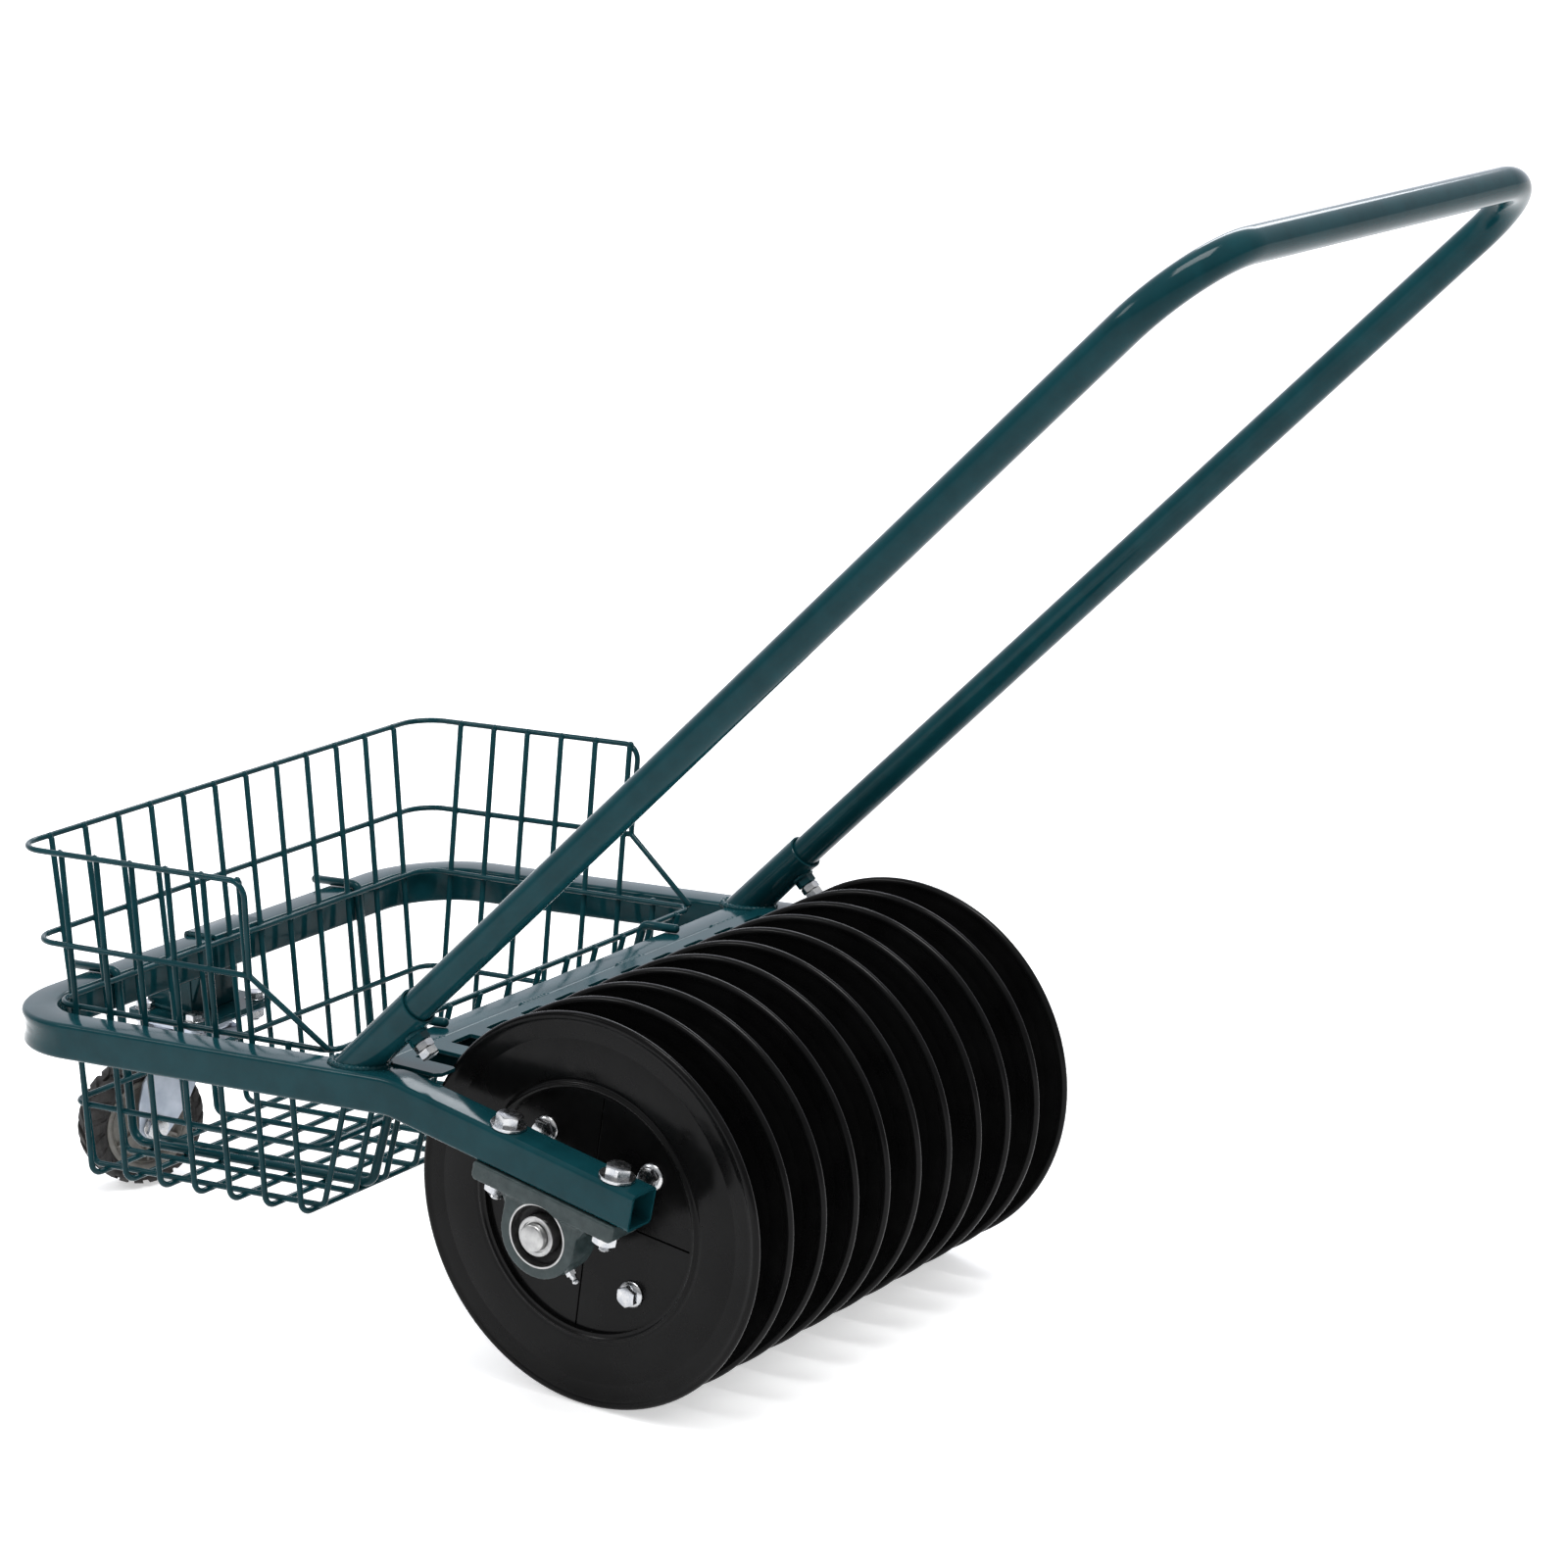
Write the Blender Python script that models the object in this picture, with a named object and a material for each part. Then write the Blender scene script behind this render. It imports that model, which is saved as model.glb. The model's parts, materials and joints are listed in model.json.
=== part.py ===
"""Push-along ball collector cart: a disc roller, a square-tube frame, a lift-off wire
basket, a swivel caster and a bent-tube push handle.

Sizes are in millimetres and MM turns them into metres. The empty "cart" stands on the
ground under the roller's axle, and every other empty is a seat on it: the roller's axle,
the two arms, the handle's foot, the caster's kingpin and the caster's axle. Each piece is
modelled in the frame of its seat, so a moving piece has its origin on its joint's axis.
X runs along the axle, +Y towards the person who pushes, +Z up.
"""

import math

import bmesh
import bpy
import numpy as np

for old_object in list(bpy.data.objects):
    bpy.data.objects.remove(old_object, do_unlink=True)

# ---------------------------------------------------------------- driving dimensions
MM = 0.001
GAP = 0.3  # between pieces that touch
FINE = 12  # sides of a small hole, pin or nut
ROUND = 24  # sides of a large turned piece
SHARP_ANGLE = math.radians(38.0)

AXLE_BACK = 52.84  # puts the middle of the cart's length at the origin
DISC_RADIUS = 146.0
AXLE_HEIGHT = DISC_RADIUS
DISC_COUNT = 11
DISC_PITCH = 41.6
DRUM_RADIUS = 90.0
DRUM_HALF = 207.0
SHAFT_RADIUS = 10.0
SHAFT_HALF = 275.4
TIE_CIRCLE = 65.5
TIE_ANGLES = (35.0, 125.0, 215.0, 305.0)

TUBE_HALF = 14.0  # half the side of the frame's square tube
TUBE_WALL = 2.0
TUBE_CORNER = 3.4
RISE = 0.07  # the frame's plane rises this much per millimetre towards the rear
TILT = math.atan(RISE)
TOP_AT_AXLE = 242.65  # height of the frame's top face above the axle
DROP = math.radians(10.56)  # the arms fall towards the rear
ARM_X = 255.0
ARM_FOOT = 47.6  # the arm's centre line, above the axle
ARM_REACH = 72.0
BEND_Y = -133.4  # where the side tubes bend down into the arms
FRONT_Y = -511.0
FRONT_RADIUS = 68.0
CROSSBAR_Y = -174.0
CROSSBAR_HALF = 240.7
COMB_LOW = 231.0
COMB_HIGH = 234.0

HANDLE_LEAN = math.atan2(0.7086, 0.7056)  # from the vertical
LEG_X = 246.4
LEG_Y = -146.0
LEG_Z = 259.7
HANDLE_RADIUS = 12.0
HANDLE_WALL = 1.8
HANDLE_LENGTH = 872.0
HANDLE_BEND = 68.0
CLAMP_HEIGHT = 17.7

BOLT_SPREAD = 47.5  # from the axle to each bearing bolt, along the arm
KING_Y = -538.0
SWING = math.radians(-18.8)  # how the caster stands at rest
TRAIL = 56.0
TYRE_RADIUS = 51.5
PLATE_HALF_X = 46.0
PLATE_BOLTS = [(x, y) for x, y in ((36.5, 26.0), (-36.5, 26.0), (-36.5, -26.0), (36.5, -26.0))]

WIRE_HALF = 2.05
WIRE_LAP = 2.8  # between the centres of two wires welded across each other
BASKET_RISE = 0.06
CROSS_Y = [-461.5 + 34.3 * k for k in range(7)]
LONG_SHARES = [(2 * j - 11) / 11.0 for j in range(12)]
ROD_X = 146.5
ROD_RADIUS = 3.5


def top_face(y):
    """Height of the frame's top face at y."""
    return TOP_AT_AXLE + RISE * y


def tube_centre(y):
    return top_face(y) - TUBE_HALF / math.cos(TILT)


def tube_bottom(y):
    return top_face(y) - 2.0 * TUBE_HALF / math.cos(TILT)


# ---------------------------------------------------------------- seats and materials
def add_seat(name, parent, place, turn=(0.0, 0.0, 0.0)):
    """An empty at `place`, in millimetres in its parent's frame."""
    seat = bpy.data.objects.new(name, None)
    bpy.context.scene.collection.objects.link(seat)
    seat.parent = parent
    seat.location = [value * MM for value in place]
    seat.rotation_euler = turn
    return seat


def add_material(name, colour, roughness, metallic=0.0):
    material = bpy.data.materials.new(name)
    material.use_nodes = True
    shader = material.node_tree.nodes["Principled BSDF"]
    shader.inputs["Base Color"].default_value = (*colour, 1.0)
    shader.inputs["Roughness"].default_value = roughness
    shader.inputs["Metallic"].default_value = metallic
    return material


CART = add_seat("cart", None, (0.0, AXLE_BACK, 0.0))
ROLLER = add_seat("roller_axle", CART, (0.0, 0.0, AXLE_HEIGHT))
HANDLE = add_seat("handle_foot", CART, (0.0, LEG_Y, LEG_Z), (-HANDLE_LEAN, 0.0, 0.0))
KINGPIN = add_seat("caster_kingpin", CART, (0.0, KING_Y, 0.0), (0.0, 0.0, SWING))
WHEEL = add_seat("caster_wheel_axle", KINGPIN, (TRAIL, 0.0, TYRE_RADIUS))
BASKET = add_seat("basket_seat", CART, (0.0, 0.0, 0.0))
ARMS = {
    side: add_seat("arm_" + side, CART, (x, 0.0, AXLE_HEIGHT), (-DROP, 0.0, 0.0))
    for side, x in (("l", ARM_X), ("r", -ARM_X))
}

TEAL = add_material("teal_paint", (0.005, 0.045, 0.054), 0.2)
BLACK = add_material("black_plastic", (0.0035, 0.0035, 0.0035), 0.2)
ZINC = add_material("bright_zinc", (0.62, 0.62, 0.63), 0.3, 1.0)
CAST = add_material("cast_housing", (0.03, 0.045, 0.045), 0.5)
STEEL = add_material("bearing_steel", (0.55, 0.55, 0.56), 0.25, 1.0)
RUBBER = add_material("caster_rubber", (0.02, 0.02, 0.02), 0.6)
RIM = add_material("rim_plastic", (0.1, 0.095, 0.085), 0.5)


# ---------------------------------------------------------------- outlines
def circle(radius, steps=FINE):
    angles = [2.0 * math.pi * i / steps for i in range(steps)]
    return [(radius * math.sin(a), radius * math.cos(a)) for a in angles]


def hexagon(across_flats, steps=FINE):
    """A hexagon with as many points as the circles it is joined to."""
    outline = []
    for i in range(steps):
        angle = 2.0 * math.pi * i / steps
        from_flat = (angle + math.pi / 6) % (math.pi / 3) - math.pi / 6
        radius = across_flats / 2 / math.cos(from_flat)
        outline.append((radius * math.sin(angle), radius * math.cos(angle)))
    return outline


def square(half, corner=0.0):
    """A square, with its corners cut off where `corner` is given."""
    if not corner:
        return [(half, -half), (half, half), (-half, half), (-half, -half)]
    flat = half - corner
    outline = [(half, -flat), (half, flat), (flat, half), (-flat, half)]
    return outline + [(-a, -b) for a, b in outline]


def unit(vector):
    return vector / np.linalg.norm(vector)


def rounded(points, radii, steps):
    """A route whose inner corners are rounded, a radius of 0 leaving the corner sharp."""
    points = [np.array(point, float) for point in points]
    route = [points[0]]
    for before, corner, after, radius in zip(points, points[1:], points[2:], radii):
        if not radius:
            route.append(corner)
            continue
        back = unit(before - corner)
        ahead = unit(after - corner)
        half_angle = math.acos(float(np.dot(back, ahead))) / 2
        centre = corner + unit(back + ahead) * radius / math.sin(half_angle)
        first = corner + back * radius / math.tan(half_angle) - centre
        last = corner + ahead * radius / math.tan(half_angle) - centre
        sweep_angle = math.pi - 2 * half_angle
        for k in range(steps + 1):
            share = k / steps
            blend = math.sin((1 - share) * sweep_angle) * first + math.sin(share * sweep_angle) * last
            route.append(centre + blend / math.sin(sweep_angle))
    route.append(points[-1])
    return route


def mirrored(points):
    return [(-x, y, z) for x, y, z in points]


# ---------------------------------------------------------------- bodies
def bridged(rings, closed=False):
    """A body through rings of equal length, each joined to the next one."""
    body = bmesh.new()
    loops = [[body.verts.new(point) for point in ring] for ring in rings]
    pairs = list(zip(loops, loops[1:]))
    if closed:
        pairs.append((loops[-1], loops[0]))
    else:
        body.faces.new(loops[0])
        body.faces.new(loops[-1])
    for lower, upper in pairs:
        for i, vertex in enumerate(lower):
            j = (i + 1) % len(lower)
            body.faces.new((vertex, lower[j], upper[j], upper[i]))
    bmesh.ops.recalc_face_normals(body, faces=body.faces)
    return body


def placed(axis, outline, height, centre=(0.0, 0.0, 0.0)):
    """An outline set square to an axis, `height` along it."""
    x, y, z = centre
    if axis == "X":
        return [(x + height, y + a, z + b) for a, b in outline]
    if axis == "Y":
        return [(x + a, y + height, z + b) for a, b in outline]
    return [(x + a, y + b, z + height) for a, b in outline]


def stacked(axis, levels, centre=(0.0, 0.0, 0.0)):
    """A solid through outlines at heights along an axis: [(height, outline)]."""
    return bridged([placed(axis, outline, height, centre) for height, outline in levels])


def sleeve(axis, outer, inner, centre=(0.0, 0.0, 0.0)):
    """A body with a hole through it, from the levels of its outside and its inside."""
    levels = outer + inner[::-1]
    return bridged([placed(axis, outline, height, centre) for height, outline in levels], closed=True)


def slab(axis, outline, low, high, centre=(0.0, 0.0, 0.0)):
    """A flat outline extruded from low to high along an axis."""
    body = bmesh.new()
    face = body.faces.new([body.verts.new(point) for point in placed(axis, outline, low, centre)])
    moved = bmesh.ops.extrude_face_region(body, geom=[face])["geom"]
    shift = placed(axis, [(0.0, 0.0)], high - low)[0]
    bmesh.ops.translate(body, verts=[v for v in moved if isinstance(v, bmesh.types.BMVert)], vec=shift)
    bmesh.ops.recalc_face_normals(body, faces=body.faces)
    return body


def turned(axis, profile, steps, centre=(0.0, 0.0, 0.0)):
    """A closed (radius, height) profile spun about an axis: a ring."""
    body = bmesh.new()
    corners = [body.verts.new(placed(axis, [(0.0, r)], h, centre)[0]) for r, h in profile]
    edges = [body.edges.new((corners[i - 1], corner)) for i, corner in enumerate(corners)]
    direction = placed(axis, [(0.0, 0.0)], 1.0)[0]
    spin = {"cent": centre, "axis": direction, "angle": 2.0 * math.pi, "steps": steps}
    bmesh.ops.spin(body, geom=corners + edges, use_merge=True, **spin)
    bmesh.ops.recalc_face_normals(body, faces=body.faces)
    return body


def block(low, high):
    (x0, y0, z0), (x1, y1, z1) = low, high
    return slab("Z", [(x0, y0), (x1, y0), (x1, y1), (x0, y1)], z0, z1)


def rings_along(route, section, up):
    """The section set square to a route, mitred at its corners, its second side towards `up`."""
    route = [np.array(point, float) for point in route]
    rings = []
    for i, point in enumerate(route):
        arriving = unit(point - route[i - 1]) if i else None
        leaving = unit(route[i + 1] - point) if i < len(route) - 1 else None
        arriving = leaving if arriving is None else arriving
        leaving = arriving if leaving is None else leaving
        along = unit(arriving + leaving)
        stretch = 1.0 / max(0.5, float(np.dot(along, arriving)))
        side = unit(np.cross(along, up))
        above = unit(np.cross(side, along))
        bend = leaving - arriving
        ring = [a * side + b * above for a, b in section]
        if stretch > 1.0001:
            across = unit(bend - np.dot(bend, along) * along)
            ring = [spoke + across * np.dot(spoke, across) * (stretch - 1.0) for spoke in ring]
        rings.append([point + spoke for spoke in ring])
    return rings


def rod(route, section, up=(0.0, 0.0, 1.0)):
    return bridged(rings_along(route, section, up))


def tube(route, outer, inner, up):
    """A tube that is open at both ends."""
    return bridged(rings_along(route, outer, up) + rings_along(route, inner, up)[::-1], closed=True)


def merged(bodies):
    """Several bodies as one, still apart from each other."""
    whole = bmesh.new()
    for body in bodies:
        spare = bpy.data.meshes.new("spare")
        body.to_mesh(spare)
        whole.from_mesh(spare)
        body.free()
        bpy.data.meshes.remove(spare)
    return whole


# ---------------------------------------------------------------- objects
def add_piece(name, body, material, seat):
    """A body in millimetres, made into a named object on its seat."""
    bmesh.ops.scale(body, vec=(MM, MM, MM), verts=body.verts)
    mesh = bpy.data.meshes.new(name)
    body.to_mesh(mesh)
    body.free()
    mesh.materials.append(material)
    mesh.shade_smooth()
    mesh.set_sharp_from_angle(angle=SHARP_ANGLE)
    piece = bpy.data.objects.new(name, mesh)
    bpy.context.scene.collection.objects.link(piece)
    piece.parent = seat
    return piece


def combine(piece, operation, body, solver="EXACT"):
    """Adds a Boolean modifier, whose tool is a hidden object on the piece's own seat."""
    tool_name = "%s_tool_%d" % (piece.name, len(piece.modifiers) + 1)
    tool = add_piece(tool_name, body, piece.data.materials[0], piece.parent)
    tool.hide_render = True
    tool.display_type = "WIRE"
    boolean = piece.modifiers.new(tool_name, "BOOLEAN")
    boolean.operation = operation
    boolean.solver = solver
    boolean.object = tool
    return piece


def join(piece, body, solver="EXACT"):
    return combine(piece, "UNION", body, solver)


def cut(piece, body, solver="EXACT"):
    return combine(piece, "DIFFERENCE", body, solver)


# ---------------------------------------------------------------- frame
FRAME_UP = (0.0, -math.sin(TILT), math.cos(TILT))
TUBE_OUTER = square(TUBE_HALF, TUBE_CORNER)
TUBE_INNER = square(TUBE_HALF - TUBE_WALL, TUBE_CORNER - TUBE_WALL)


def arm_point(along, above):
    """A point of the arms' plane: (y, z) from distances along the arm and above the axle."""
    y = along * math.cos(DROP) + above * math.sin(DROP)
    return y, AXLE_HEIGHT - along * math.sin(DROP) + above * math.cos(DROP)


def frame_half(side):
    """One half of the frame's centre line, from the arm's end to the middle of the front."""
    arm_end = arm_point(ARM_REACH, ARM_FOOT)
    bend_reach = 9.0  # the tube bends over this length each way
    bend_z = tube_centre(BEND_Y)
    after_bend = (BEND_Y + bend_reach * math.cos(DROP), bend_z - bend_reach * math.sin(DROP))
    bend_sag = 0.45
    route = [arm_end, after_bend, (BEND_Y, bend_z - bend_sag)]
    route.append((BEND_Y - bend_reach, bend_z - bend_reach * RISE))
    half = [(side * ARM_X, y, z) for y, z in route]
    corner_steps = 8
    for i in range(corner_steps + 1):
        angle = math.pi / 2 * i / corner_steps
        x = ARM_X - FRONT_RADIUS * (1.0 - math.cos(angle))
        y = FRONT_Y + FRONT_RADIUS * (1.0 - math.sin(angle))
        half.append((side * x, y, tube_centre(y)))
    return half


def build_frame_tube():
    hole_radius = 5.6
    drills = []
    for x in (ARM_X, -ARM_X):
        for along in (-BOLT_SPREAD, BOLT_SPREAD):
            low, high = [(x, *arm_point(along, above)) for above in (ARM_FOOT - 30.0, ARM_FOOT + 30.0)]
            drills.append(rod([low, high], circle(hole_radius), up=(1.0, 0.0, 0.0)))
    route = frame_half(1.0) + frame_half(-1.0)[::-1]
    frame_tube = add_piece("frame_tube", tube(route, TUBE_OUTER, TUBE_INNER, FRAME_UP), TEAL, CART)
    cut(frame_tube, merged(drills))


def build_crossbar():
    z = tube_centre(CROSSBAR_Y)
    route = [(-CROSSBAR_HALF, CROSSBAR_Y, z), (CROSSBAR_HALF, CROSSBAR_Y, z)]
    add_piece("crossbar", tube(route, TUBE_OUTER, TUBE_INNER, FRAME_UP), TEAL, CART)


def disc_places():
    """Where each disc stands along the axle, from the left one to the right one."""
    middle = (DISC_COUNT - 1) / 2
    return [DISC_PITCH * (middle - i) for i in range(DISC_COUNT)]


def build_comb_plate():
    """A flat plate slotted for every disc, its front corners cut off to clear the sockets."""
    half_width = 240.5
    front = -157.2
    corner = 8.0
    tooth_end = -95.0
    outer_end = -108.0  # the two outer teeth are shorter
    slot_root = -146.0
    slot_half = 11.7
    outline = [(corner - half_width, front), (half_width - corner, front), (half_width, front + corner)]
    outline += [(half_width, outer_end - 4.0), (half_width - 4.0, outer_end)]
    for i, x in enumerate(disc_places()):
        left_end = outer_end if i == 0 else tooth_end
        right_end = outer_end if i == DISC_COUNT - 1 else tooth_end
        outline += [(x + slot_half + 2.0, left_end), (x + slot_half, left_end - 3.0)]
        outline += [(x + slot_half, slot_root + 2.0), (x + slot_half - 2.0, slot_root)]
        outline += [(x - slot_half + 2.0, slot_root), (x - slot_half, slot_root + 2.0)]
        outline += [(x - slot_half, right_end - 3.0), (x - slot_half - 2.0, right_end)]
    outline += [(4.0 - half_width, outer_end), (-half_width, outer_end - 4.0)]
    outline.append((-half_width, front + corner))
    add_piece("comb_plate", slab("Z", outline, COMB_LOW, COMB_HIGH), TEAL, CART)


# ---------------------------------------------------------------- handle and its sockets
SOCKET_TOP = 34.6


def socket_foot(radius, x):
    """The socket's lower edge: a circle slid down the leg until it meets the frame's top face."""
    edge = []
    for a, b in circle(radius, ROUND):
        from_leg_y = b * math.cos(HANDLE_LEAN)
        from_leg_z = -b * math.sin(HANDLE_LEAN)
        above_frame = LEG_Z + from_leg_z - top_face(LEG_Y + from_leg_y) - GAP
        slope = math.cos(HANDLE_LEAN) - RISE * math.sin(HANDLE_LEAN)
        edge.append((x + a, b, -above_frame / slope))
    return edge


def socket_body(x):
    rings = []
    for radius, order in ((14.5, 1), (12.5, -1)):
        top = placed("Z", circle(radius, ROUND), SOCKET_TOP, (x, 0.0, 0.0))
        rings += [socket_foot(radius, x), top][::order]
    return bridged(rings, closed=True)


def build_socket(side, x):
    """A short tube standing on the frame, with a welded nut, a clamp bolt and its lock nut."""
    centre = (x, 0.0, CLAMP_HEIGHT)
    socket = add_piece("socket_" + side, socket_body(x), TEAL, HANDLE)
    join(socket, stacked("Y", [(13.4, hexagon(14.0)), (21.0, hexagon(14.0))], centre))
    cut(socket, stacked("Y", [(9.0, circle(4.4)), (24.0, circle(4.4))], centre))
    levels = [(12.4, circle(3.4)), (13.2, circle(4.0)), (27.4, circle(4.0)), (27.4, hexagon(12.6))]
    levels += [(27.9, hexagon(13.0)), (32.0, hexagon(13.0)), (33.0, circle(5.6))]
    add_piece("clamp_bolt_" + side, stacked("Y", levels, centre), ZINC, HANDLE)
    outer = [(21.3, hexagon(13.0)), (27.0, hexagon(13.0))]
    inner = [(21.3, circle(4.35)), (27.0, circle(4.35))]
    add_piece("lock_nut_" + side, sleeve("Y", outer, inner, centre), ZINC, HANDLE)


def build_handle():
    """One tube: up a leg, across the grip and down the other leg."""
    start = -25.5  # inside the socket
    bend_steps = 7
    leg = [(LEG_X, 0.0, start)]
    for i in range(bend_steps + 1):
        angle = math.pi / 2 * i / bend_steps
        x = LEG_X - HANDLE_BEND * (1.0 - math.cos(angle))
        leg.append((x, 0.0, HANDLE_LENGTH - HANDLE_BEND * (1.0 - math.sin(angle))))
    route = leg + mirrored(leg)[::-1]
    sides = 14
    outer = circle(HANDLE_RADIUS, sides)
    inner = circle(HANDLE_RADIUS - HANDLE_WALL, sides)
    add_piece("handle", tube(route, outer, inner, up=(0.0, 1.0, 0.0)), TEAL, HANDLE)


# ---------------------------------------------------------------- roller
def build_discs():
    """Discs with a swollen rim, pushed onto the drum."""
    bore = DRUM_RADIUS + 1.0
    half = [(bore, 2.6), (139.6, 2.1), (142.4, 3.0), (145.6, 1.7)]
    profile = [(r, -h) for r, h in half] + [(DISC_RADIUS, 0.0)] + half[::-1]
    for number, x in enumerate(disc_places(), start=1):
        body = turned("X", profile, 32, (x, 0.0, 0.0))
        add_piece("disc_%02d" % number, body, BLACK, ROLLER)


def tie_centre(angle):
    turn = math.radians(angle)
    return 0.0, TIE_CIRCLE * math.cos(turn), TIE_CIRCLE * math.sin(turn)


def build_drum():
    """A hollow drum with end walls, open at its bores for the shaft and the tie rods."""
    wall = 6.0
    bore = SHAFT_RADIUS + 0.4
    profile = [(bore, -DRUM_HALF), (DRUM_RADIUS, -DRUM_HALF), (DRUM_RADIUS, DRUM_HALF), (bore, DRUM_HALF)]
    drum = add_piece("roller_drum", turned("X", profile, 36), BLACK, ROLLER)
    inside = DRUM_HALF - wall
    cavity = [(16.0, -inside), (84.0, -inside), (84.0, inside), (16.0, inside)]
    cut(drum, turned("X", cavity, ROUND))
    past_end = DRUM_HALF + 23.0
    bores = [(-past_end, circle(5.4)), (past_end, circle(5.4))]
    cut(drum, merged([stacked("X", bores, tie_centre(angle)) for angle in TIE_ANGLES]))


def both_ends(levels):
    """Levels towards one end of a piece that is the same at both ends."""
    return [(-height, outline) for height, outline in levels] + levels[::-1]


def build_shaft():
    end = circle(SHAFT_RADIUS - 1.1, 20)
    full = circle(SHAFT_RADIUS, 20)
    levels = both_ends([(SHAFT_HALF, end), (SHAFT_HALF - 1.0, full)])
    add_piece("roller_shaft", stacked("X", levels), ZINC, ROLLER)


def build_tie_rods():
    """Long bolts through the drum, with a flanged hexagon at each end."""
    levels = both_ends([
        (214.6, circle(6.6)),
        (213.6, hexagon(15.0)),
        (209.3, hexagon(15.0)),
        (209.3, circle(9.4)),
        (207.4, circle(9.8)),
        (207.4, circle(5.0)),
    ])
    for number, angle in enumerate(TIE_ANGLES, start=1):
        add_piece("tie_rod_%d" % number, stacked("X", levels, tie_centre(angle)), ZINC, ROLLER)


# ---------------------------------------------------------------- bearings
def bearing_nipple():
    """The grease nipple, pointing back and down."""
    levels = [(30.0, hexagon(7.0)), (35.4, hexagon(7.0)), (35.4, circle(2.6)), (38.0, circle(1.9))]
    levels += [(40.5, circle(2.7)), (42.0, circle(1.4))]
    body = stacked("Z", levels)
    lean = math.atan2(0.60, -0.80) - DROP
    turn = np.array([[1, 0, 0], [0, math.cos(lean), math.sin(lean)], [0, -math.sin(lean), math.cos(lean)]])
    for vertex in body.verts:
        vertex.co = turn @ np.array(vertex.co)
    return body


def build_housing(side):
    """A pillow block hung under the arm: a foot, a round body with shoulders, and a bore."""
    foot = [(-63.5, 33.3), (63.5, 33.3), (63.5, 22.5), (60.0, 20.0), (-60.0, 20.0), (-63.5, 22.5)]
    radius = 31.5
    round_part = [(radius, 26.0), (radius, 4.0)]
    for angle in range(0, -181, -15):
        turn = math.radians(angle)
        round_part.append((radius * math.cos(turn), radius * math.sin(turn)))
    round_part += [(-radius, 4.0), (-radius, 26.0)]
    shoulder = [(-37.0, 21.0), (37.0, 21.0), (37.0, 19.0), (30.0, 8.0), (-30.0, 8.0), (-37.0, 19.0)]
    housing = add_piece("bearing_housing_" + side, slab("X", foot, -15.5, 15.5), CAST, ARMS[side])
    join(housing, slab("X", round_part, -13.5, 13.5))
    join(housing, slab("X", shoulder, -13.0, 13.0))
    join(housing, bearing_nipple())
    cut(housing, stacked("X", [(-30.0, circle(23.9, ROUND)), (30.0, circle(23.9, ROUND))]))
    slots = [(10.0, circle(5.8)), (40.0, circle(5.8))]
    cut(housing, merged([stacked("Z", slots, (0.0, y, 0.0)) for y in (-BOLT_SPREAD, BOLT_SPREAD)]))


def build_insert(side, x):
    """The ball insert in the housing, and the collar that turns with the shaft."""
    half = [(14.9, 8.5), (18.5, 10.5), (23.5, 10.5)]
    profile = [(r, -h) for r, h in half] + half[::-1]
    add_piece("bearing_insert_" + side, turned("X", profile, ROUND), STEEL, ARMS[side])
    collar = [(10.35, -15.5), (14.5, -15.5), (14.5, 15.5), (10.35, 15.5)]
    add_piece("bearing_collar_" + side, turned("X", collar, 20, (x, 0.0, 0.0)), STEEL, ROLLER)


def build_bearing_bolts(side):
    bolt = [(6.0, circle(4.3)), (7.0, circle(5.0)), (61.95, circle(5.0)), (61.95, circle(13.0))]
    bolt += [(64.5, circle(13.0)), (64.5, hexagon(16.4)), (65.0, hexagon(17.0)), (70.4, hexagon(17.0))]
    bolt += [(71.4, circle(7.6))]
    outer = [(11.3, hexagon(17.0)), (19.65, hexagon(17.0))]
    inner = [(11.3, circle(5.35)), (19.65, circle(5.35))]
    for end, y in (("front", -BOLT_SPREAD), ("rear", BOLT_SPREAD)):
        centre = (0.0, y, 0.0)
        tag = side + "_" + end
        add_piece("bearing_bolt_" + tag, stacked("Z", bolt, centre), ZINC, ARMS[side])
        add_piece("bearing_nut_" + tag, sleeve("Z", outer, inner, centre), ZINC, ARMS[side])


# ---------------------------------------------------------------- caster
def plate_holes():
    hole = [(120.0, circle(4.4)), (150.0, circle(4.4))]
    return merged([stacked("Z", hole, (x, KING_Y + y, 0.0)) for x, y in PLATE_BOLTS])


def build_bracket():
    """A saddle over the front tube, a gusset below it and the plate that carries the caster."""
    outside = [(17.4, -11.0), (17.4, 15.6), (15.6, 17.4), (-15.6, 17.4), (-17.4, 15.6)]
    inside = [(-17.4, -52.5), (-14.4, -52.5), (-14.4, 14.4), (14.4, 14.4), (14.4, -11.0)]
    across, rise = math.cos(TILT), math.sin(TILT)
    middle = tube_centre(FRONT_Y)
    section = outside + inside
    saddle = [(FRONT_Y + a * across - b * rise, middle + a * rise + b * across) for a, b in section]
    bracket = add_piece("caster_bracket", slab("X", saddle, -29.0, 29.0), TEAL, CART)
    rear, front = -498.2, -524.9
    gusset = [(-526.5, 137.0), (-522.0, 150.0), (rear, tube_bottom(rear) - 1.6)]
    gusset += [(rear, tube_bottom(rear) - 0.4), (front, tube_bottom(front) - 0.4), (-526.0, 185.0)]
    gusset += [(-527.0, 196.0), (-570.0, 146.0), (-572.0, 137.0)]
    join(bracket, slab("X", gusset, 24.0, 28.0))
    join(bracket, block((-PLATE_HALF_X, -576.0, 134.3), (PLATE_HALF_X, -500.0, 139.3)))
    cut(bracket, plate_holes())


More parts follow.
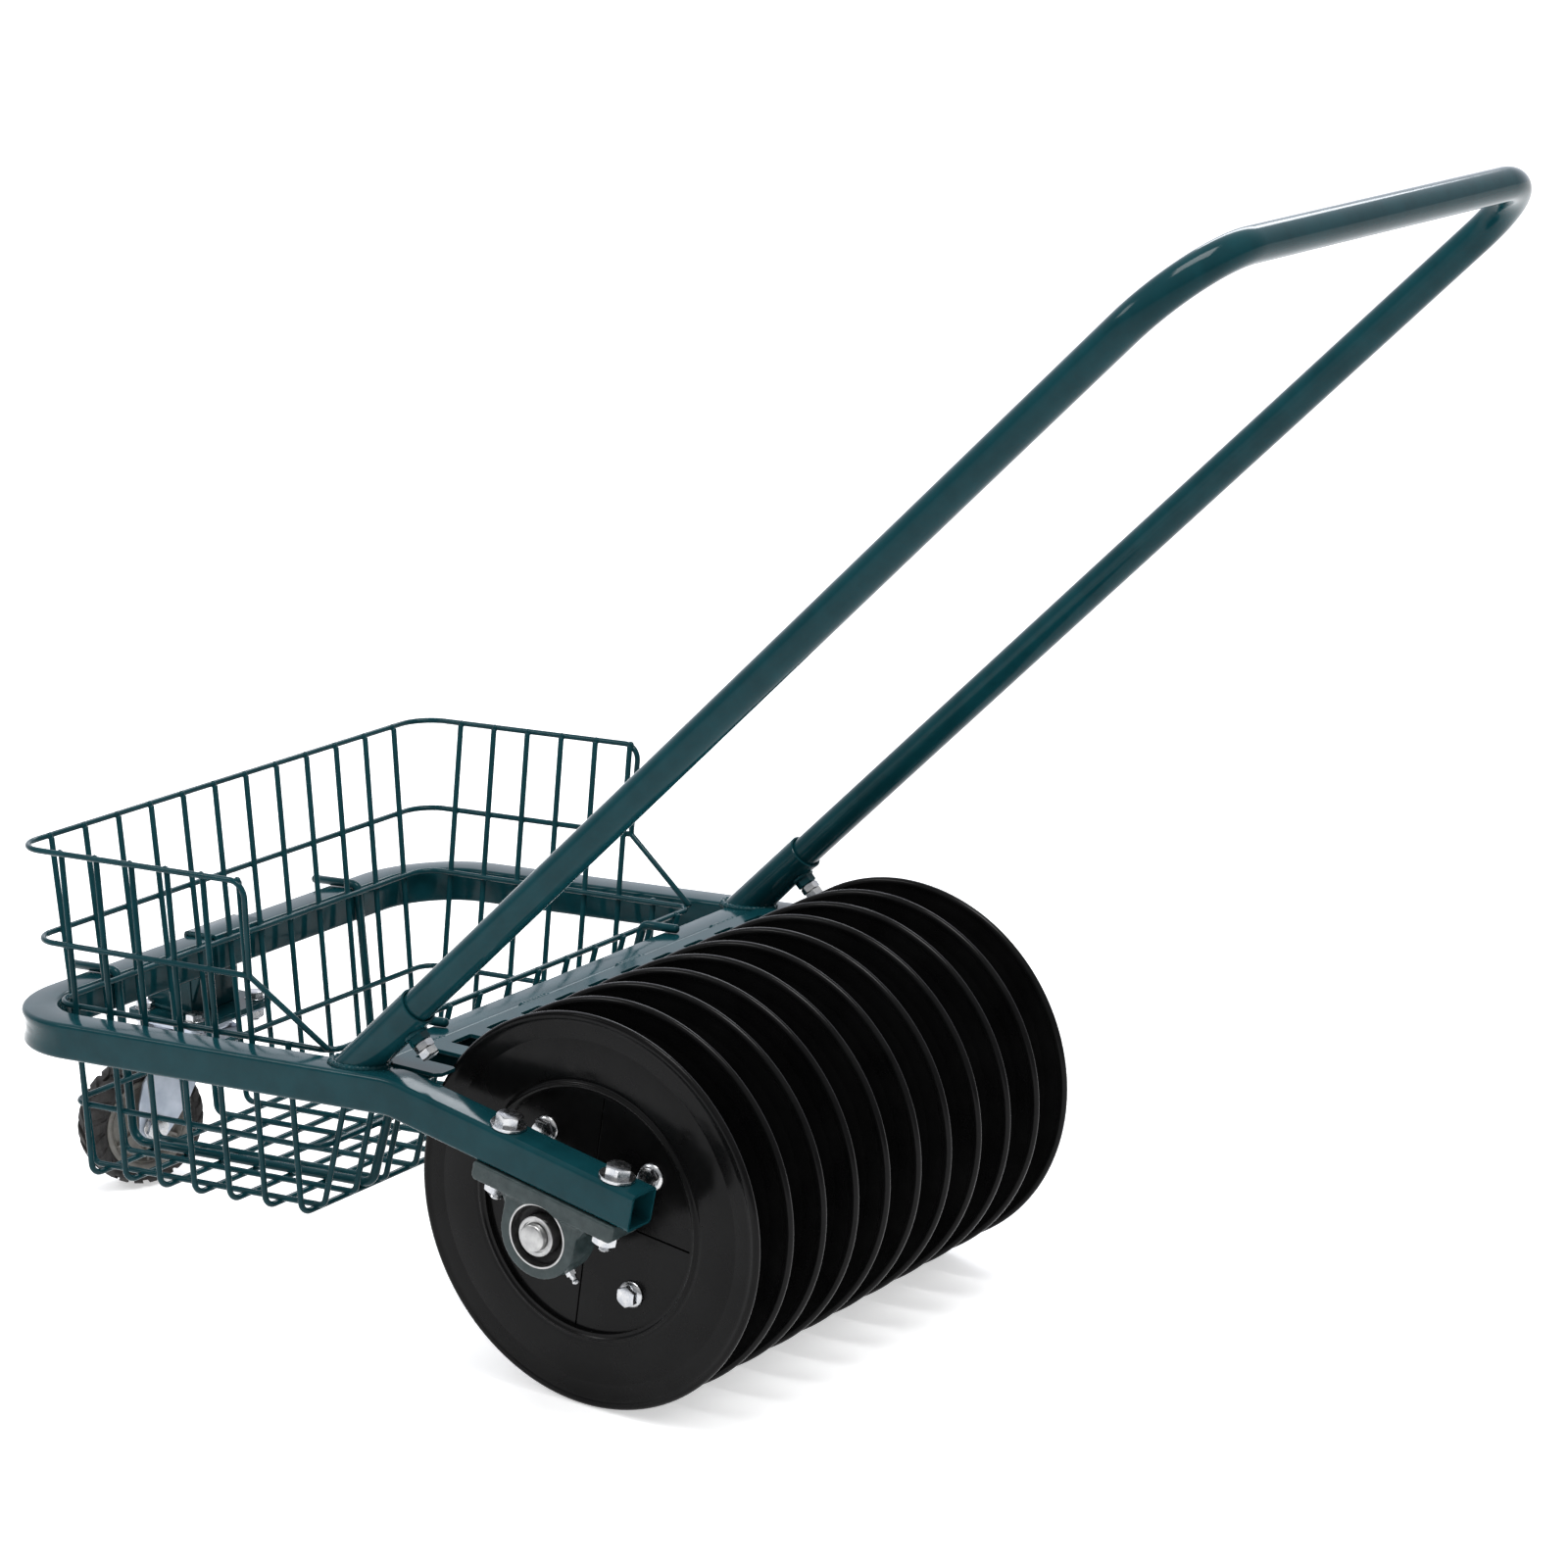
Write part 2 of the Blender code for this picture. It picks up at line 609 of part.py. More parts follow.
def build_caster_plate():
    """The caster's own plate with its ball race, bolted under the bracket."""
    low, high = (-PLATE_HALF_X, KING_Y - 34.0, 131.0), (PLATE_HALF_X, KING_Y + 34.0, 134.0)
    plate = add_piece("caster_plate", block(low, high), ZINC, CART)
    sides = 16
    race = [(112.0, 8.0), (116.5, 8.0), (117.0, 5.8), (122.6, 5.8), (123.0, 25.0), (127.0, 26.0)]
    race.append((131.6, 21.0))
    levels = [(z, circle(radius, sides)) for z, radius in race]
    join(plate, stacked("Z", levels, (0.0, KING_Y, 0.0)))
    cut(plate, plate_holes())


def build_caster_bolts():
    levels = [(123.3, circle(3.6)), (123.9, circle(4.0)), (123.9, hexagon(13.0)), (130.7, hexagon(13.0))]
    levels += [(130.7, circle(4.0)), (139.6, circle(4.0)), (139.6, hexagon(13.0))]
    levels += [(144.6, hexagon(13.0)), (145.4, circle(5.4))]
    for number, (x, y) in enumerate(PLATE_BOLTS, start=1):
        add_piece("caster_bolt_%d" % number, stacked("Z", levels, (x, KING_Y + y, 0.0)), ZINC, CART)


def build_fork():
    """Two legs and a crown, bent from one strip: the wheel trails along the seat's X."""
    leg = [(-24.0, 107.0), (-24.0, 122.3), (34.0, 122.3), (46.0, 116.0), (66.0, 92.0), (70.0, 56.0)]
    leg += [(68.4, 46.5), (63.5, 39.5), (56.0, 37.0), (47.0, 39.5), (38.0, 47.0), (30.0, 58.0), (14.0, 92.0)]
    fork = add_piece("caster_fork", slab("Y", leg, 20.4, 23.0), ZINC, KINGPIN)
    join(fork, slab("Y", leg, -23.0, -20.4))
    join(fork, block((-24.0, -23.0, 119.3), (34.0, 23.0, 122.3)))
    cut(fork, stacked("Z", [(105.0, circle(6.2, 16)), (130.0, circle(6.2, 16))]))
    cut(fork, stacked("Y", [(-30.0, circle(5.3)), (30.0, circle(5.3))], (TRAIL, 0.0, TYRE_RADIUS)))


def build_caster_axle():
    centre = (TRAIL, 0.0, TYRE_RADIUS)
    bolt = [(-34.0, circle(4.2)), (-33.0, circle(5.0)), (23.3, circle(5.0)), (23.3, hexagon(17.0))]
    bolt += [(28.8, hexagon(17.0)), (29.6, circle(7.4))]
    add_piece("caster_axle_bolt", stacked("Y", bolt, centre), ZINC, KINGPIN)
    outer = [(-31.3, hexagon(17.0)), (-23.3, hexagon(17.0))]
    inner = [(-31.3, circle(5.3)), (-23.3, circle(5.3))]
    add_piece("caster_axle_nut", sleeve("Y", outer, inner, centre), ZINC, KINGPIN)


def build_wheel():
    """A moulded rim with a thin web, and a tyre with lugs that alternate side to side."""
    half = [(5.4, 19.6), (12.0, 19.6), (13.0, 6.0), (31.0, 5.0), (33.0, 13.0), (38.4, 14.0)]
    profile = [(r, -h) for r, h in half] + half[::-1]
    add_piece("caster_rim", turned("Y", profile, 28), RIM, WHEEL)
    lug_steps = 48
    depth = 2.4
    rings = []
    for i in range(lug_steps):
        angle = 2.0 * math.pi * i / lug_steps
        near = depth * ((i // 2) % 2)
        far = depth - near
        tread = [(38.7, -13.5), (42.0, -17.4), (47.4 - near * 0.4, -18.0), (50.2 - near, -13.5)]
        tread += [(TYRE_RADIUS, 0.0), (50.2 - far, 13.5), (47.4 - far * 0.4, 18.0)]
        tread += [(42.0, 17.4), (38.7, 13.5)]
        rings.append([(r * math.sin(angle), h, r * math.cos(angle)) for r, h in tread])
    add_piece("caster_tyre", bridged(rings, closed=True), RUBBER, WHEEL)


# ---------------------------------------------------------------- basket
WIRE = square(WIRE_HALF)
UP_X, UP_Y, UP_Z = (1.0, 0.0, 0.0), (0.0, 1.0, 0.0), (0.0, 0.0, 1.0)
RAILS = (  # height at mid-length, half width, front y, rear y, corner radius
    (339.7, 244.3, -506.8, None, 26.0),
    (266.8, 237.2, -498.8, None, 24.0),
    (215.9, 225.7, -487.3, -216.2, 20.0),
    (136.0, 217.3, -478.1, -237.2, 15.0),
)
TOP_RAIL, SECOND_RAIL, THIRD_RAIL = RAILS[0][0], RAILS[1][0], RAILS[2][0]
REAR_CORNER = 14.0


def rail_z(height, y):
    """The basket's rails rise to the rear."""
    return height + BASKET_RISE * (y + 365.0)


def side_x(z, y):
    """The basket's sides lean inwards towards the floor."""
    return 241.5 - 0.105 * (339.7 - z + BASKET_RISE * (y + 365.0))


def front_y(z):
    return -504.0 + 0.1135 * (331.2 - z)


def rear_y(z):
    return -213.4 - 0.2595 * (224.8 - z)


def under_z(y):
    """Height of the wires under the floor."""
    return 72.3 + 0.0745 * (y + 463.0)


def floor_z(y):
    return under_z(y) + WIRE_LAP


def long_x(share, z):
    """The long wires draw together towards the floor."""
    return share * (206.0 - 9.0 * (331.0 - z) / 256.0)


def wall_wire(share, top, wall_y, foot_y, turn_y, radius):
    """A wire that comes down an end wall and turns under to meet the floor."""
    low = floor_z(foot_y)
    route = [(long_x(share, top), wall_y(top), top), (long_x(share, low), wall_y(low), low)]
    route.append((long_x(share, low), turn_y, floor_z(turn_y)))
    return rod(rounded(route, [radius], 2), WIRE, UP_X)


def straight_rail(half, height, y):
    return rod([(-half, y, rail_z(height, y)), (half, y, rail_z(height, y))], WIRE, UP_Z)


def build_basket_front():
    split = 0.7  # the end wall stops this far short of the side's corner
    rails = [straight_rail(half - corner - split, z, front) for z, half, front, _, corner in RAILS]
    wires = [wall_wire(share, 329.4, front_y, -468.0, -466.6, 5.0) for share in LONG_SHARES]
    join_wires("basket_front", rails, wires)


def build_basket_rear():
    split = 0.7
    rails = [straight_rail(half - REAR_CORNER - split, z, rear) for z, half, _, rear, _ in RAILS[2:]]
    wires = [wall_wire(share, 226.4, rear_y, -249.0, -253.0, 3.0) for share in LONG_SHARES]
    join_wires("basket_rear", rails, wires)


def rim_route():
    """The top rail, round the front corner and along the side, then down to the third rail."""
    z, half, front, _, corner = RAILS[0]
    route = [(half - corner - 0.3, front, rail_z(z, front)), (half, front, rail_z(z, front))]
    route.append((half, -283.2, rail_z(z, -283.2)))
    route.append((237.2, -284.4, rail_z(SECOND_RAIL, -284.4)))
    route.append((227.0, -218.6, rail_z(THIRD_RAIL, -216.2) + 0.8))
    return rounded(route, [corner, 12.0, 0.0], 4)


def side_rail_route(rail):
    z, half, front, rear, corner = rail
    route = [(half - corner - 0.3, front, rail_z(z, front)), (half, front, rail_z(z, front))]
    if rear is None:
        route.append((half, -283.6, rail_z(z, -283.6)))
        return rounded(route, [corner], 4)
    route += [(half, rear, rail_z(z, rear)), (half - REAR_CORNER - 0.3, rear, rail_z(z, rear))]
    return rounded(route, [corner, REAR_CORNER - 1.0], 4)


def side_wire_route(number, y):
    """A wire from a rail down the side and under the floor; the last one starts lower."""
    behind_rim = number == len(CROSS_Y) - 1
    top = rail_z(THIRD_RAIL, y) + 1.6 if behind_rim else rail_z(TOP_RAIL, y) - 1.6
    low = under_z(y)
    route = [(side_x(top, y), y, top), (side_x(low, y), y, low), (200.2, y, low)]
    return rounded(route, [10.0], 3)


def build_basket_side(side, mirror):
    """One side wall, with the wires that turn under the floor."""
    rim = rod(mirror(rim_route()), WIRE, UP_Z)
    rails = [rod(mirror(side_rail_route(rail)), WIRE, UP_Z) for rail in RAILS[1:]]
    wires = [rod(mirror(side_wire_route(i, y)), WIRE, UP_Y) for i, y in enumerate(CROSS_Y)]
    join_wires("basket_side_" + side, [rim] + rails, wires)


def build_basket_floor():
    front, rear = -468.0, -249.0
    longs = []
    for share in LONG_SHARES:
        start = (long_x(share, floor_z(front)), -466.2, floor_z(-466.2))
        end = (long_x(share, floor_z(rear)), -253.4, floor_z(-253.4))
        longs.append(rod([start, end], WIRE, UP_Z))
    unders = [rod([(-199.8, y, under_z(y)), (199.8, y, under_z(y))], WIRE, UP_Z) for y in CROSS_Y]
    join_wires("basket_floor", longs, unders)


def join_wires(name, rails, wires):
    """A welded grille: its rails and its wires, one closed body."""
    grille = add_piece(name, merged(rails), TEAL, BASKET)
    join(grille, merged(wires))


def build_hanger_rod(side, x):
    """A rod that hooks over the front tube, runs under the floor and hooks over the crossbar."""
    under_floor = WIRE_HALF + ROD_RADIUS + 0.4
    front, rear, end = -493.15, -206.6, -174.0
    route = [
        (x, -541.0, top_face(-541.0) + 3.9),
        (x, front, top_face(front) + 4.0),
        (x, front, 200.0),
        (x, -479.4, under_z(-479.4) + under_floor),
        (x, -243.5, under_z(-243.5) + under_floor),
        (x, -209.3, 224.0),
        (x, rear, top_face(rear) + 4.0),
        (x, end, top_face(end) + 3.9),
    ]
    route = rounded(route, [5.5, 0.0, 12.0, 12.0, 0.0, 6.0], 3)
    add_piece("hanger_rod_" + side, rod(route, circle(ROD_RADIUS, 8), UP_X), TEAL, BASKET)


# ---------------------------------------------------------------- the cart
build_frame_tube()
build_crossbar()
build_comb_plate()
build_handle()
build_discs()
build_drum()
build_shaft()
build_tie_rods()
build_bracket()
build_caster_plate()
build_caster_bolts()
build_fork()
build_caster_axle()
build_wheel()
build_basket_front()
build_basket_rear()
build_basket_floor()
for side_name, sign in (("l", 1.0), ("r", -1.0)):
    build_socket(side_name, sign * LEG_X)
    build_housing(side_name)
    build_insert(side_name, sign * ARM_X)
    build_bearing_bolts(side_name)
    build_basket_side(side_name, mirrored if sign < 0 else list)
    build_hanger_rod(side_name, sign * ROD_X)
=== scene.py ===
"""Looks of the push-along ball collector cart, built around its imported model.

Sizes are in millimetres, with Y measured from the roller's axle, until a piece
is made: piece() moves it to the frame's place and to metres.
"""

import json
from collections import namedtuple
from math import acos, atan, atan2, cos, degrees, pi, radians, sin, tan

import bmesh
import bpy
import numpy as np
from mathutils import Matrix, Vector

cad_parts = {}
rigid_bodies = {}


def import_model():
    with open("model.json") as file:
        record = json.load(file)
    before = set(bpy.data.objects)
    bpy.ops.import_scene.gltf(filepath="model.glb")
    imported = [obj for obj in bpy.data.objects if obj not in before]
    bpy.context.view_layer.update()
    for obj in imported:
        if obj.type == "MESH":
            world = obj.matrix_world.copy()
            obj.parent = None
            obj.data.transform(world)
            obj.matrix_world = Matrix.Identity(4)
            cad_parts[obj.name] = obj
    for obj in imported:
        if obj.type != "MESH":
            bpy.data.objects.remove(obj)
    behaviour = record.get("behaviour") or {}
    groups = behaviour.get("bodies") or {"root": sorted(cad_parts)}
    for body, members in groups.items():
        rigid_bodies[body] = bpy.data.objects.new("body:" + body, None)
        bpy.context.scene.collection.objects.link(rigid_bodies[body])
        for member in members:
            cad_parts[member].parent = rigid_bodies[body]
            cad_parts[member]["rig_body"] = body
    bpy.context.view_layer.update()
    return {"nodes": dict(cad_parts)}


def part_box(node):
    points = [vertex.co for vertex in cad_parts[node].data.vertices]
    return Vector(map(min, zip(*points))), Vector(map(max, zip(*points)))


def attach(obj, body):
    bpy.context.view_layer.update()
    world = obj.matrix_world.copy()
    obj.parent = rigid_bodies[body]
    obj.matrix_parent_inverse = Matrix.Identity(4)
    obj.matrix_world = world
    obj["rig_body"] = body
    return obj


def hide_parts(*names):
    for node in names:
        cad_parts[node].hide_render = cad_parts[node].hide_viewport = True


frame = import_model()
NODES = frame["nodes"]
PER_METRE = 1000.0


def vec(x, y, z):
    return np.array([x, y, z], float)


def box_mm(node):
    """The lowest and highest corner of a CAD node, in millimetres."""
    low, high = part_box(node)
    return np.array(low) * PER_METRE, np.array(high) * PER_METRE


def centre_mm(node):
    low, high = box_mm(node)
    return (low + high) / 2.0


X, Y, Z = vec(1, 0, 0), vec(0, 1, 0), vec(0, 0, 1)
AXLE_Y = centre_mm("roller_shaft")[1]
AXLE = vec(0, 0, centre_mm("roller_shaft")[2])


def in_metres(points):
    """Points measured from the axle, moved to the frame's place."""
    return (np.array(points, float) + vec(0, AXLE_Y, 0)) / PER_METRE


# ---- geometry
def unit(v):
    return v / np.linalg.norm(v)


def basis(axis, ref=None):
    """Two directions square to an axis, the first as near to ref as it can be."""
    axis = unit(axis)
    if ref is None:
        ref = Z if abs(axis[2]) < 0.9 else Y
    across = unit(np.cross(axis, ref))
    return unit(np.cross(across, axis)), across, axis


def circle(radius, count):
    turns = [2 * pi * i / count for i in range(count)]
    return [(radius * cos(t), radius * sin(t)) for t in turns]


def rounded_square(half, radius, steps=5, sink=0.0):
    """A square with round corners. Its left side can be sunk in the middle."""
    outline = []
    inner = half - radius
    for sx, sy, start in ((1, -1, -90), (1, 1, 0), (-1, 1, 90), (-1, -1, 180)):
        for i in range(steps + 1):
            a = radians(start + 90 * i / steps)
            outline.append((sx * inner + radius * cos(a), sy * inner + radius * sin(a)))
        if (sx, sy) == (-1, 1):
            for share in (0.6, 0.2, -0.2, -0.6):
                outline.append((-half + sink * (1 - share * share), share * inner))
    return outline


def hexagon_radius(across_flats, angle):
    """The distance from a hexagon's centre to its side, in one direction."""
    off = (angle + pi / 6) % (pi / 3) - pi / 6
    return across_flats / 2 / cos(off)


def skin(rings, closed=False):
    """Quads between rings of equal length, and caps unless the last meets the first."""
    count = len(rings[0])
    points = [p for ring in rings for p in ring]
    faces = []
    for i in range(len(rings) if closed else len(rings) - 1):
        a, b = i * count, ((i + 1) % len(rings)) * count
        for j in range(count):
            k = (j + 1) % count
            faces.append((a + j, a + k, b + k, b + j))
    if not closed:
        faces.append(tuple(range(count))[::-1])
        faces.append(tuple((len(rings) - 1) * count + j for j in range(count)))
    return points, faces


def joined(shells):
    """Several shells as one list of points and faces."""
    points, faces = [], []
    for shell_points, shell_faces in shells:
        base = len(points)
        points += shell_points
        faces += [tuple(i + base for i in face) for face in shell_faces]
    return points, faces


def path_frames(path, closed=False, up=None):
    """At each point: the point, two directions across the path, and the mitre there."""
    count = len(path)
    found, last = [], up
    for i, point in enumerate(path):
        before = path[i - 1] if closed or i else None
        after = path[(i + 1) % count] if closed or i < count - 1 else None
        arriving = unit(point - before) if before is not None else unit(after - point)
        leaving = unit(after - point) if after is not None else arriving
        along = unit(arriving + leaving)
        ref = up if up is not None else last
        if ref is None:
            ref = Z if abs(along[2]) < 0.9 else X
        side = unit(np.cross(along, ref))
        last = unit(np.cross(side, along))
        bend = leaving - arriving
        stretch = 1.0 / max(0.5, float(np.dot(along, arriving)))
        found.append((point, side, last, bend, stretch, along))
    return found


def ring_at(place, outline):
    point, side, above, bend, stretch, along = place
    ring = []
    flat_bend = bend - np.dot(bend, along) * along
    size = np.linalg.norm(flat_bend)
    for a, b in outline:
        offset = a * side + b * above
        if size > 1e-4:
            outwards = flat_bend / size
            offset = offset + outwards * np.dot(offset, outwards) * (stretch - 1.0)
        ring.append(point + offset)
    return ring


def ring_for_each(places, outline):
    """A ring at each place. The outline is one list, or one for each place."""
    outlines = outline if isinstance(outline[0], list) else [outline] * len(places)
    return [ring_at(place, o) for place, o in zip(places, outlines)]


def sweep(path, outline, closed=False, up=None):
    """A solid along a path."""
    return skin(ring_for_each(path_frames(path, closed, up), outline), closed=closed)


def tube(path, outer, inner, up=None):
    """A tube with open ends, whose two outlines have the same number of points."""
    places = path_frames(path, False, up)
    return skin(ring_for_each(places, outer) + ring_for_each(places, inner)[::-1], closed=True)


def wire(path, radius, sides=14):
    """A round wire with slightly rounded cut ends."""
    lead = 0.35 * radius
    first = path[0] + unit(path[1] - path[0]) * lead
    final = path[-1] + unit(path[-2] - path[-1]) * lead
    full = circle(radius, sides)
    small = circle(radius * 0.72, sides)
    outlines = [small, full] + [full] * (len(path) - 2) + [full, small]
    return sweep([path[0], first] + path[1:-1] + [final, path[-1]], outlines)


def two_sided(half):
    """A closed profile from its half on one side of the middle: (radius, height)."""
    return half + [(r, -h) for r, h in half[::-1]]


def turned(origin, axis, profile, steps, ref=None):
    """A closed profile of (radius, height) points, turned about an axis."""
    e1, e2, e3 = basis(axis, ref)
    rings = []
    for i in range(steps):
        a = 2 * pi * i / steps
        out = cos(a) * e1 + sin(a) * e2
        rings.append([origin + r * out + h * e3 for r, h in profile])
    return skin(rings, closed=True)


def rod(origin, axis, profile, sides=32):
    """A solid turned from (radius, height) points that run from end to end."""
    e1, e2, e3 = basis(axis)
    return skin([[origin + h * e3 + a * e1 + b * e2 for a, b in circle(r, sides)] for r, h in profile])


def slab(origin, e1, e2, e3, outline, low, high):
    """An outline in (e1, e2), extruded along e3."""
    return skin([[origin + a * e1 + b * e2 + h * e3 for a, b in outline] for h in (low, high)])


def arc(centre, e1, e2, radius, start, end, steps):
    turns = [radians(start + (end - start) * i / steps) for i in range(steps + 1)]
    return [centre + radius * (cos(t) * e1 + sin(t) * e2) for t in turns]


def rounded(points, radii, steps=6):
    """A polyline whose inner corners are rounded, each by its own radius."""
    path = [points[0]]
    for i, radius in enumerate(radii, start=1):
        to_last = unit(points[i - 1] - points[i])
        to_next = unit(points[i + 1] - points[i])
        half = acos(max(-1.0, min(1.0, float(np.dot(to_last, to_next))))) / 2
        cut = radius / tan(half)
        centre = points[i] + unit(to_last + to_next) * radius / sin(half)
        a = points[i] + to_last * cut - centre
        b = points[i] + to_next * cut - centre
        total = pi - 2 * half
        for k in range(steps + 1):
            t = k / steps
            blend = sin((1 - t) * total) * a + sin(t * total) * b
            path.append(centre + blend / sin(total))
    path.append(points[-1])
    return path


def hex_head(origin, axis, across_flats, low, high, ref=None, both=False, count=48):
    """A hexagon with the round chamfer of a bolt head, or of a nut on both ends."""
    flat_r = across_flats * 0.475
    turns = [2 * pi * i / count for i in range(count)]
    radii = [hexagon_radius(across_flats, t) for t in turns]
    e1, e2, e3 = basis(axis, ref)

    def ring(size, height):
        out = []
        for t, r, h in zip(turns, size, height):
            out.append(origin + h * e3 + r * (cos(t) * e1 + sin(t) * e2))
        return out

    drop = [0.55 * max(0.0, r - flat_r) for r in radii]
    rings = []
    if both:
        rings.append(ring([flat_r * 0.62] * count, [low] * count))
        rings.append(ring([flat_r] * count, [low] * count))
        rings.append(ring(radii, [low + d for d in drop]))
    else:
        rings.append(ring(radii, [low] * count))
    rings.append(ring(radii, [high - d for d in drop]))
    rings.append(ring([flat_r] * count, [high] * count))
    return skin(rings)


def washer(origin, axis, inner, outer, low, high):
    soft = min(0.4, (high - low) / 3)
    profile = [(inner, low), (outer - soft, low), (outer, low + soft)]
    profile += [(outer, high - soft), (outer - soft, high), (inner, high)]
    return turned(origin, axis, profile, 48)


def threaded(origin, axis, radius, low, high, pitch=1.25):
    """A threaded shank: a ridge for each turn, with a chamfered end at `high`."""
    turns = int(abs(high - low) / pitch)
    step = (high - low) / turns
    profile = []
    for i in range(turns):
        profile.append((radius, low + step * (i + 0.15)))
        profile.append((radius * 0.88, low + step * (i + 0.65)))
    profile.append((radius * 0.8, high))
    return rod(origin, axis, profile, 24)


def bead(path, radius, closed=False, pitch=3.4, sides=10):
    """A weld bead: a rounded ridge with the ripples of the weld along it."""
    length = 0.0
    outlines = []
    for i, point in enumerate(path):
        length += np.linalg.norm(point - path[i - 1]) if i else 0.0
        swell = 1.0 + 0.10 * sin(2 * pi * length / pitch) + 0.06 * sin(length * 0.9)
        if not closed and i in (0, len(path) - 1):
            swell = 0.45
        outlines.append(circle(radius * swell, sides))
    return sweep(path, outlines, closed=closed)


def straight(start, end):
    """Points under a millimetre apart, fine enough for the ripples of a weld."""
    count = int(np.linalg.norm(end - start) / 0.8)
    return [start + (end - start) * i / count for i in range(count + 1)]


def mirrored(points):
    return [vec(-p[0], p[1], p[2]) for p in points]


def blob(centre, sizes, rings=5, sides=10):
    """A small ellipsoid: the spot weld of two crossing wires."""
    levels = []
    for i in range(rings + 1):
        a = radians(-80 + 160 * i / rings)
        level = [vec(cos(a) * c, cos(a) * s, sin(a)) for c, s in circle(1.0, sides)]
        levels.append([centre + sizes * point for point in level])
    return skin(levels)


# ---- materials
def add_node(owner, kind, **settings):
    """A node of a material or world, with its inputs or its own settings."""
    node = owner.node_tree.nodes.new("ShaderNode" + kind)
    for name, value in settings.items():
        if name in node.inputs:
            node.inputs[name].default_value = value
        else:
            setattr(node, name, value)
    return node


def link(owner, source, target):
    owner.node_tree.links.new(source, target)


def shader_of(material):
    return material.node_tree.nodes["Principled BSDF"]


def surface(name, colour, roughness, metallic=0.0, specular=0.5):
    """A new material whose shader holds the constant values."""
    material = bpy.data.materials.new(name)
    material.use_nodes = True
    inputs = shader_of(material).inputs
    inputs["Base Color"].default_value = (*colour, 1.0)
    inputs["Roughness"].default_value = roughness
    inputs["Metallic"].default_value = metallic
    inputs["Specular IOR Level"].default_value = specular
    return material


def noise(material, scale, detail=3.0, roughness=0.55, stretch=(1.0, 1.0, 1.0)):
    """A noise value over the piece, in features of about 1/scale metres."""
    place = add_node(material, "TexCoord")
    mapping = add_node(material, "Mapping", Scale=stretch)
    texture = add_node(material, "TexNoise", Scale=scale, Detail=detail, Roughness=roughness)
    link(material, place.outputs["Object"], mapping.inputs["Vector"])
    link(material, mapping.outputs["Vector"], texture.inputs["Vector"])
    return texture.outputs["Fac"]


def shaded(owner, value, places, shades):
    """The colour of a ramp between two shades, at a value."""
    ramp = add_node(owner, "ValToRGB")
    for stop, place, shade in zip(ramp.color_ramp.elements, places, shades):
        stop.position = place
        stop.color = (*shade, 1.0)
    link(owner, value, ramp.inputs["Fac"])
    return ramp.outputs["Color"]


def spread(owner, value, first, last, low=0.0, high=1.0):
    """A value between first and last, moved to the range from low to high."""
    limits = {"From Min": first, "From Max": last, "To Min": low, "To Max": high}
    node = add_node(owner, "MapRange", **limits)
    link(owner, value, node.inputs["Value"])
    return node.outputs["Result"]


def add_bumps(material, bumps):
    """Bumps on the surface, one upon the other: (value, strength, height in metres)."""
    target = shader_of(material).inputs["Normal"]
    for value, strength, height in bumps[::-1]:
        bump = add_node(material, "Bump", Strength=strength, Distance=height)
        link(material, value, bump.inputs["Height"])
        link(material, bump.outputs["Normal"], target)
        target = bump.inputs["Normal"]


Look = namedtuple("Look", "material slot")  # slot is the record's name for the finish


def look(name, clouds, shades, smudges, gloss, bumps, slot=None, **shader):
    """A material whose colour, roughness and bumps follow noise.

    clouds, smudges and the first entry of each bump are the settings of a noise,
    shades the two colours between the clouds, gloss the lowest and highest roughness.
    """
    material = surface(name, np.mean(shades, axis=0), np.mean(gloss), **shader)
    inputs = shader_of(material).inputs
    tint = shaded(material, noise(material, *clouds), (0.35, 0.65), shades)
    link(material, tint, inputs["Base Color"])
    rough = spread(material, noise(material, *smudges), 0.3, 0.7, *gloss)
    link(material, rough, inputs["Roughness"])
    add_bumps(material, [(noise(material, *grain), size, height) for grain, size, height in bumps])
    return Look(material, slot or name)


# Gloss powder coat: a faint orange peel, and a slightly cloudy colour.
TEAL = look(
    "teal_paint", specular=0.11,
    clouds=(38.0,), shades=((0.0026, 0.0265, 0.033), (0.0036, 0.034, 0.042)),
    smudges=(75.0, 4.0), gloss=(0.09, 0.17),
    bumps=[((260.0, 1.0), 0.035, 0.0004), ((40.0, 1.0), 0.05, 0.0012)],
)
# Gloss moulded plastic with soft flow marks and fine handling scuffs.
BLACK = look(
    "black_plastic", specular=0.09,
    clouds=(22.0, 4.0), shades=((0.0026, 0.0026, 0.0027), (0.0046, 0.0046, 0.0047)),
    smudges=(60.0, 6.0, 0.65), gloss=(0.13, 0.26),
    bumps=[((14.0, 2.0), 0.05, 0.0016), ((900.0, 2.0), 0.03, 0.0001)],
)
# Zinc plate: cool and warm patches, and fine tool marks.
ZINC = look(
    "bright_zinc", metallic=1.0,
    clouds=(160.0,), shades=((0.37, 0.385, 0.41), (0.50, 0.50, 0.50)),
    smudges=(300.0, 4.0), gloss=(0.18, 0.32),
    bumps=[((700.0, 3.0, 0.55, (1.0, 1.0, 0.25)), 0.07, 0.0002)],
)
# Duller zinc on the pressed sheet of the caster fork.
SHEET = look(
    "zinc_sheet", slot="bright_zinc", metallic=0.85,
    clouds=(55.0, 5.0), shades=((0.30, 0.34, 0.40), (0.42, 0.46, 0.52)),
    smudges=(120.0, 5.0), gloss=(0.30, 0.48),
    bumps=[((300.0, 4.0), 0.10, 0.0002)],
)
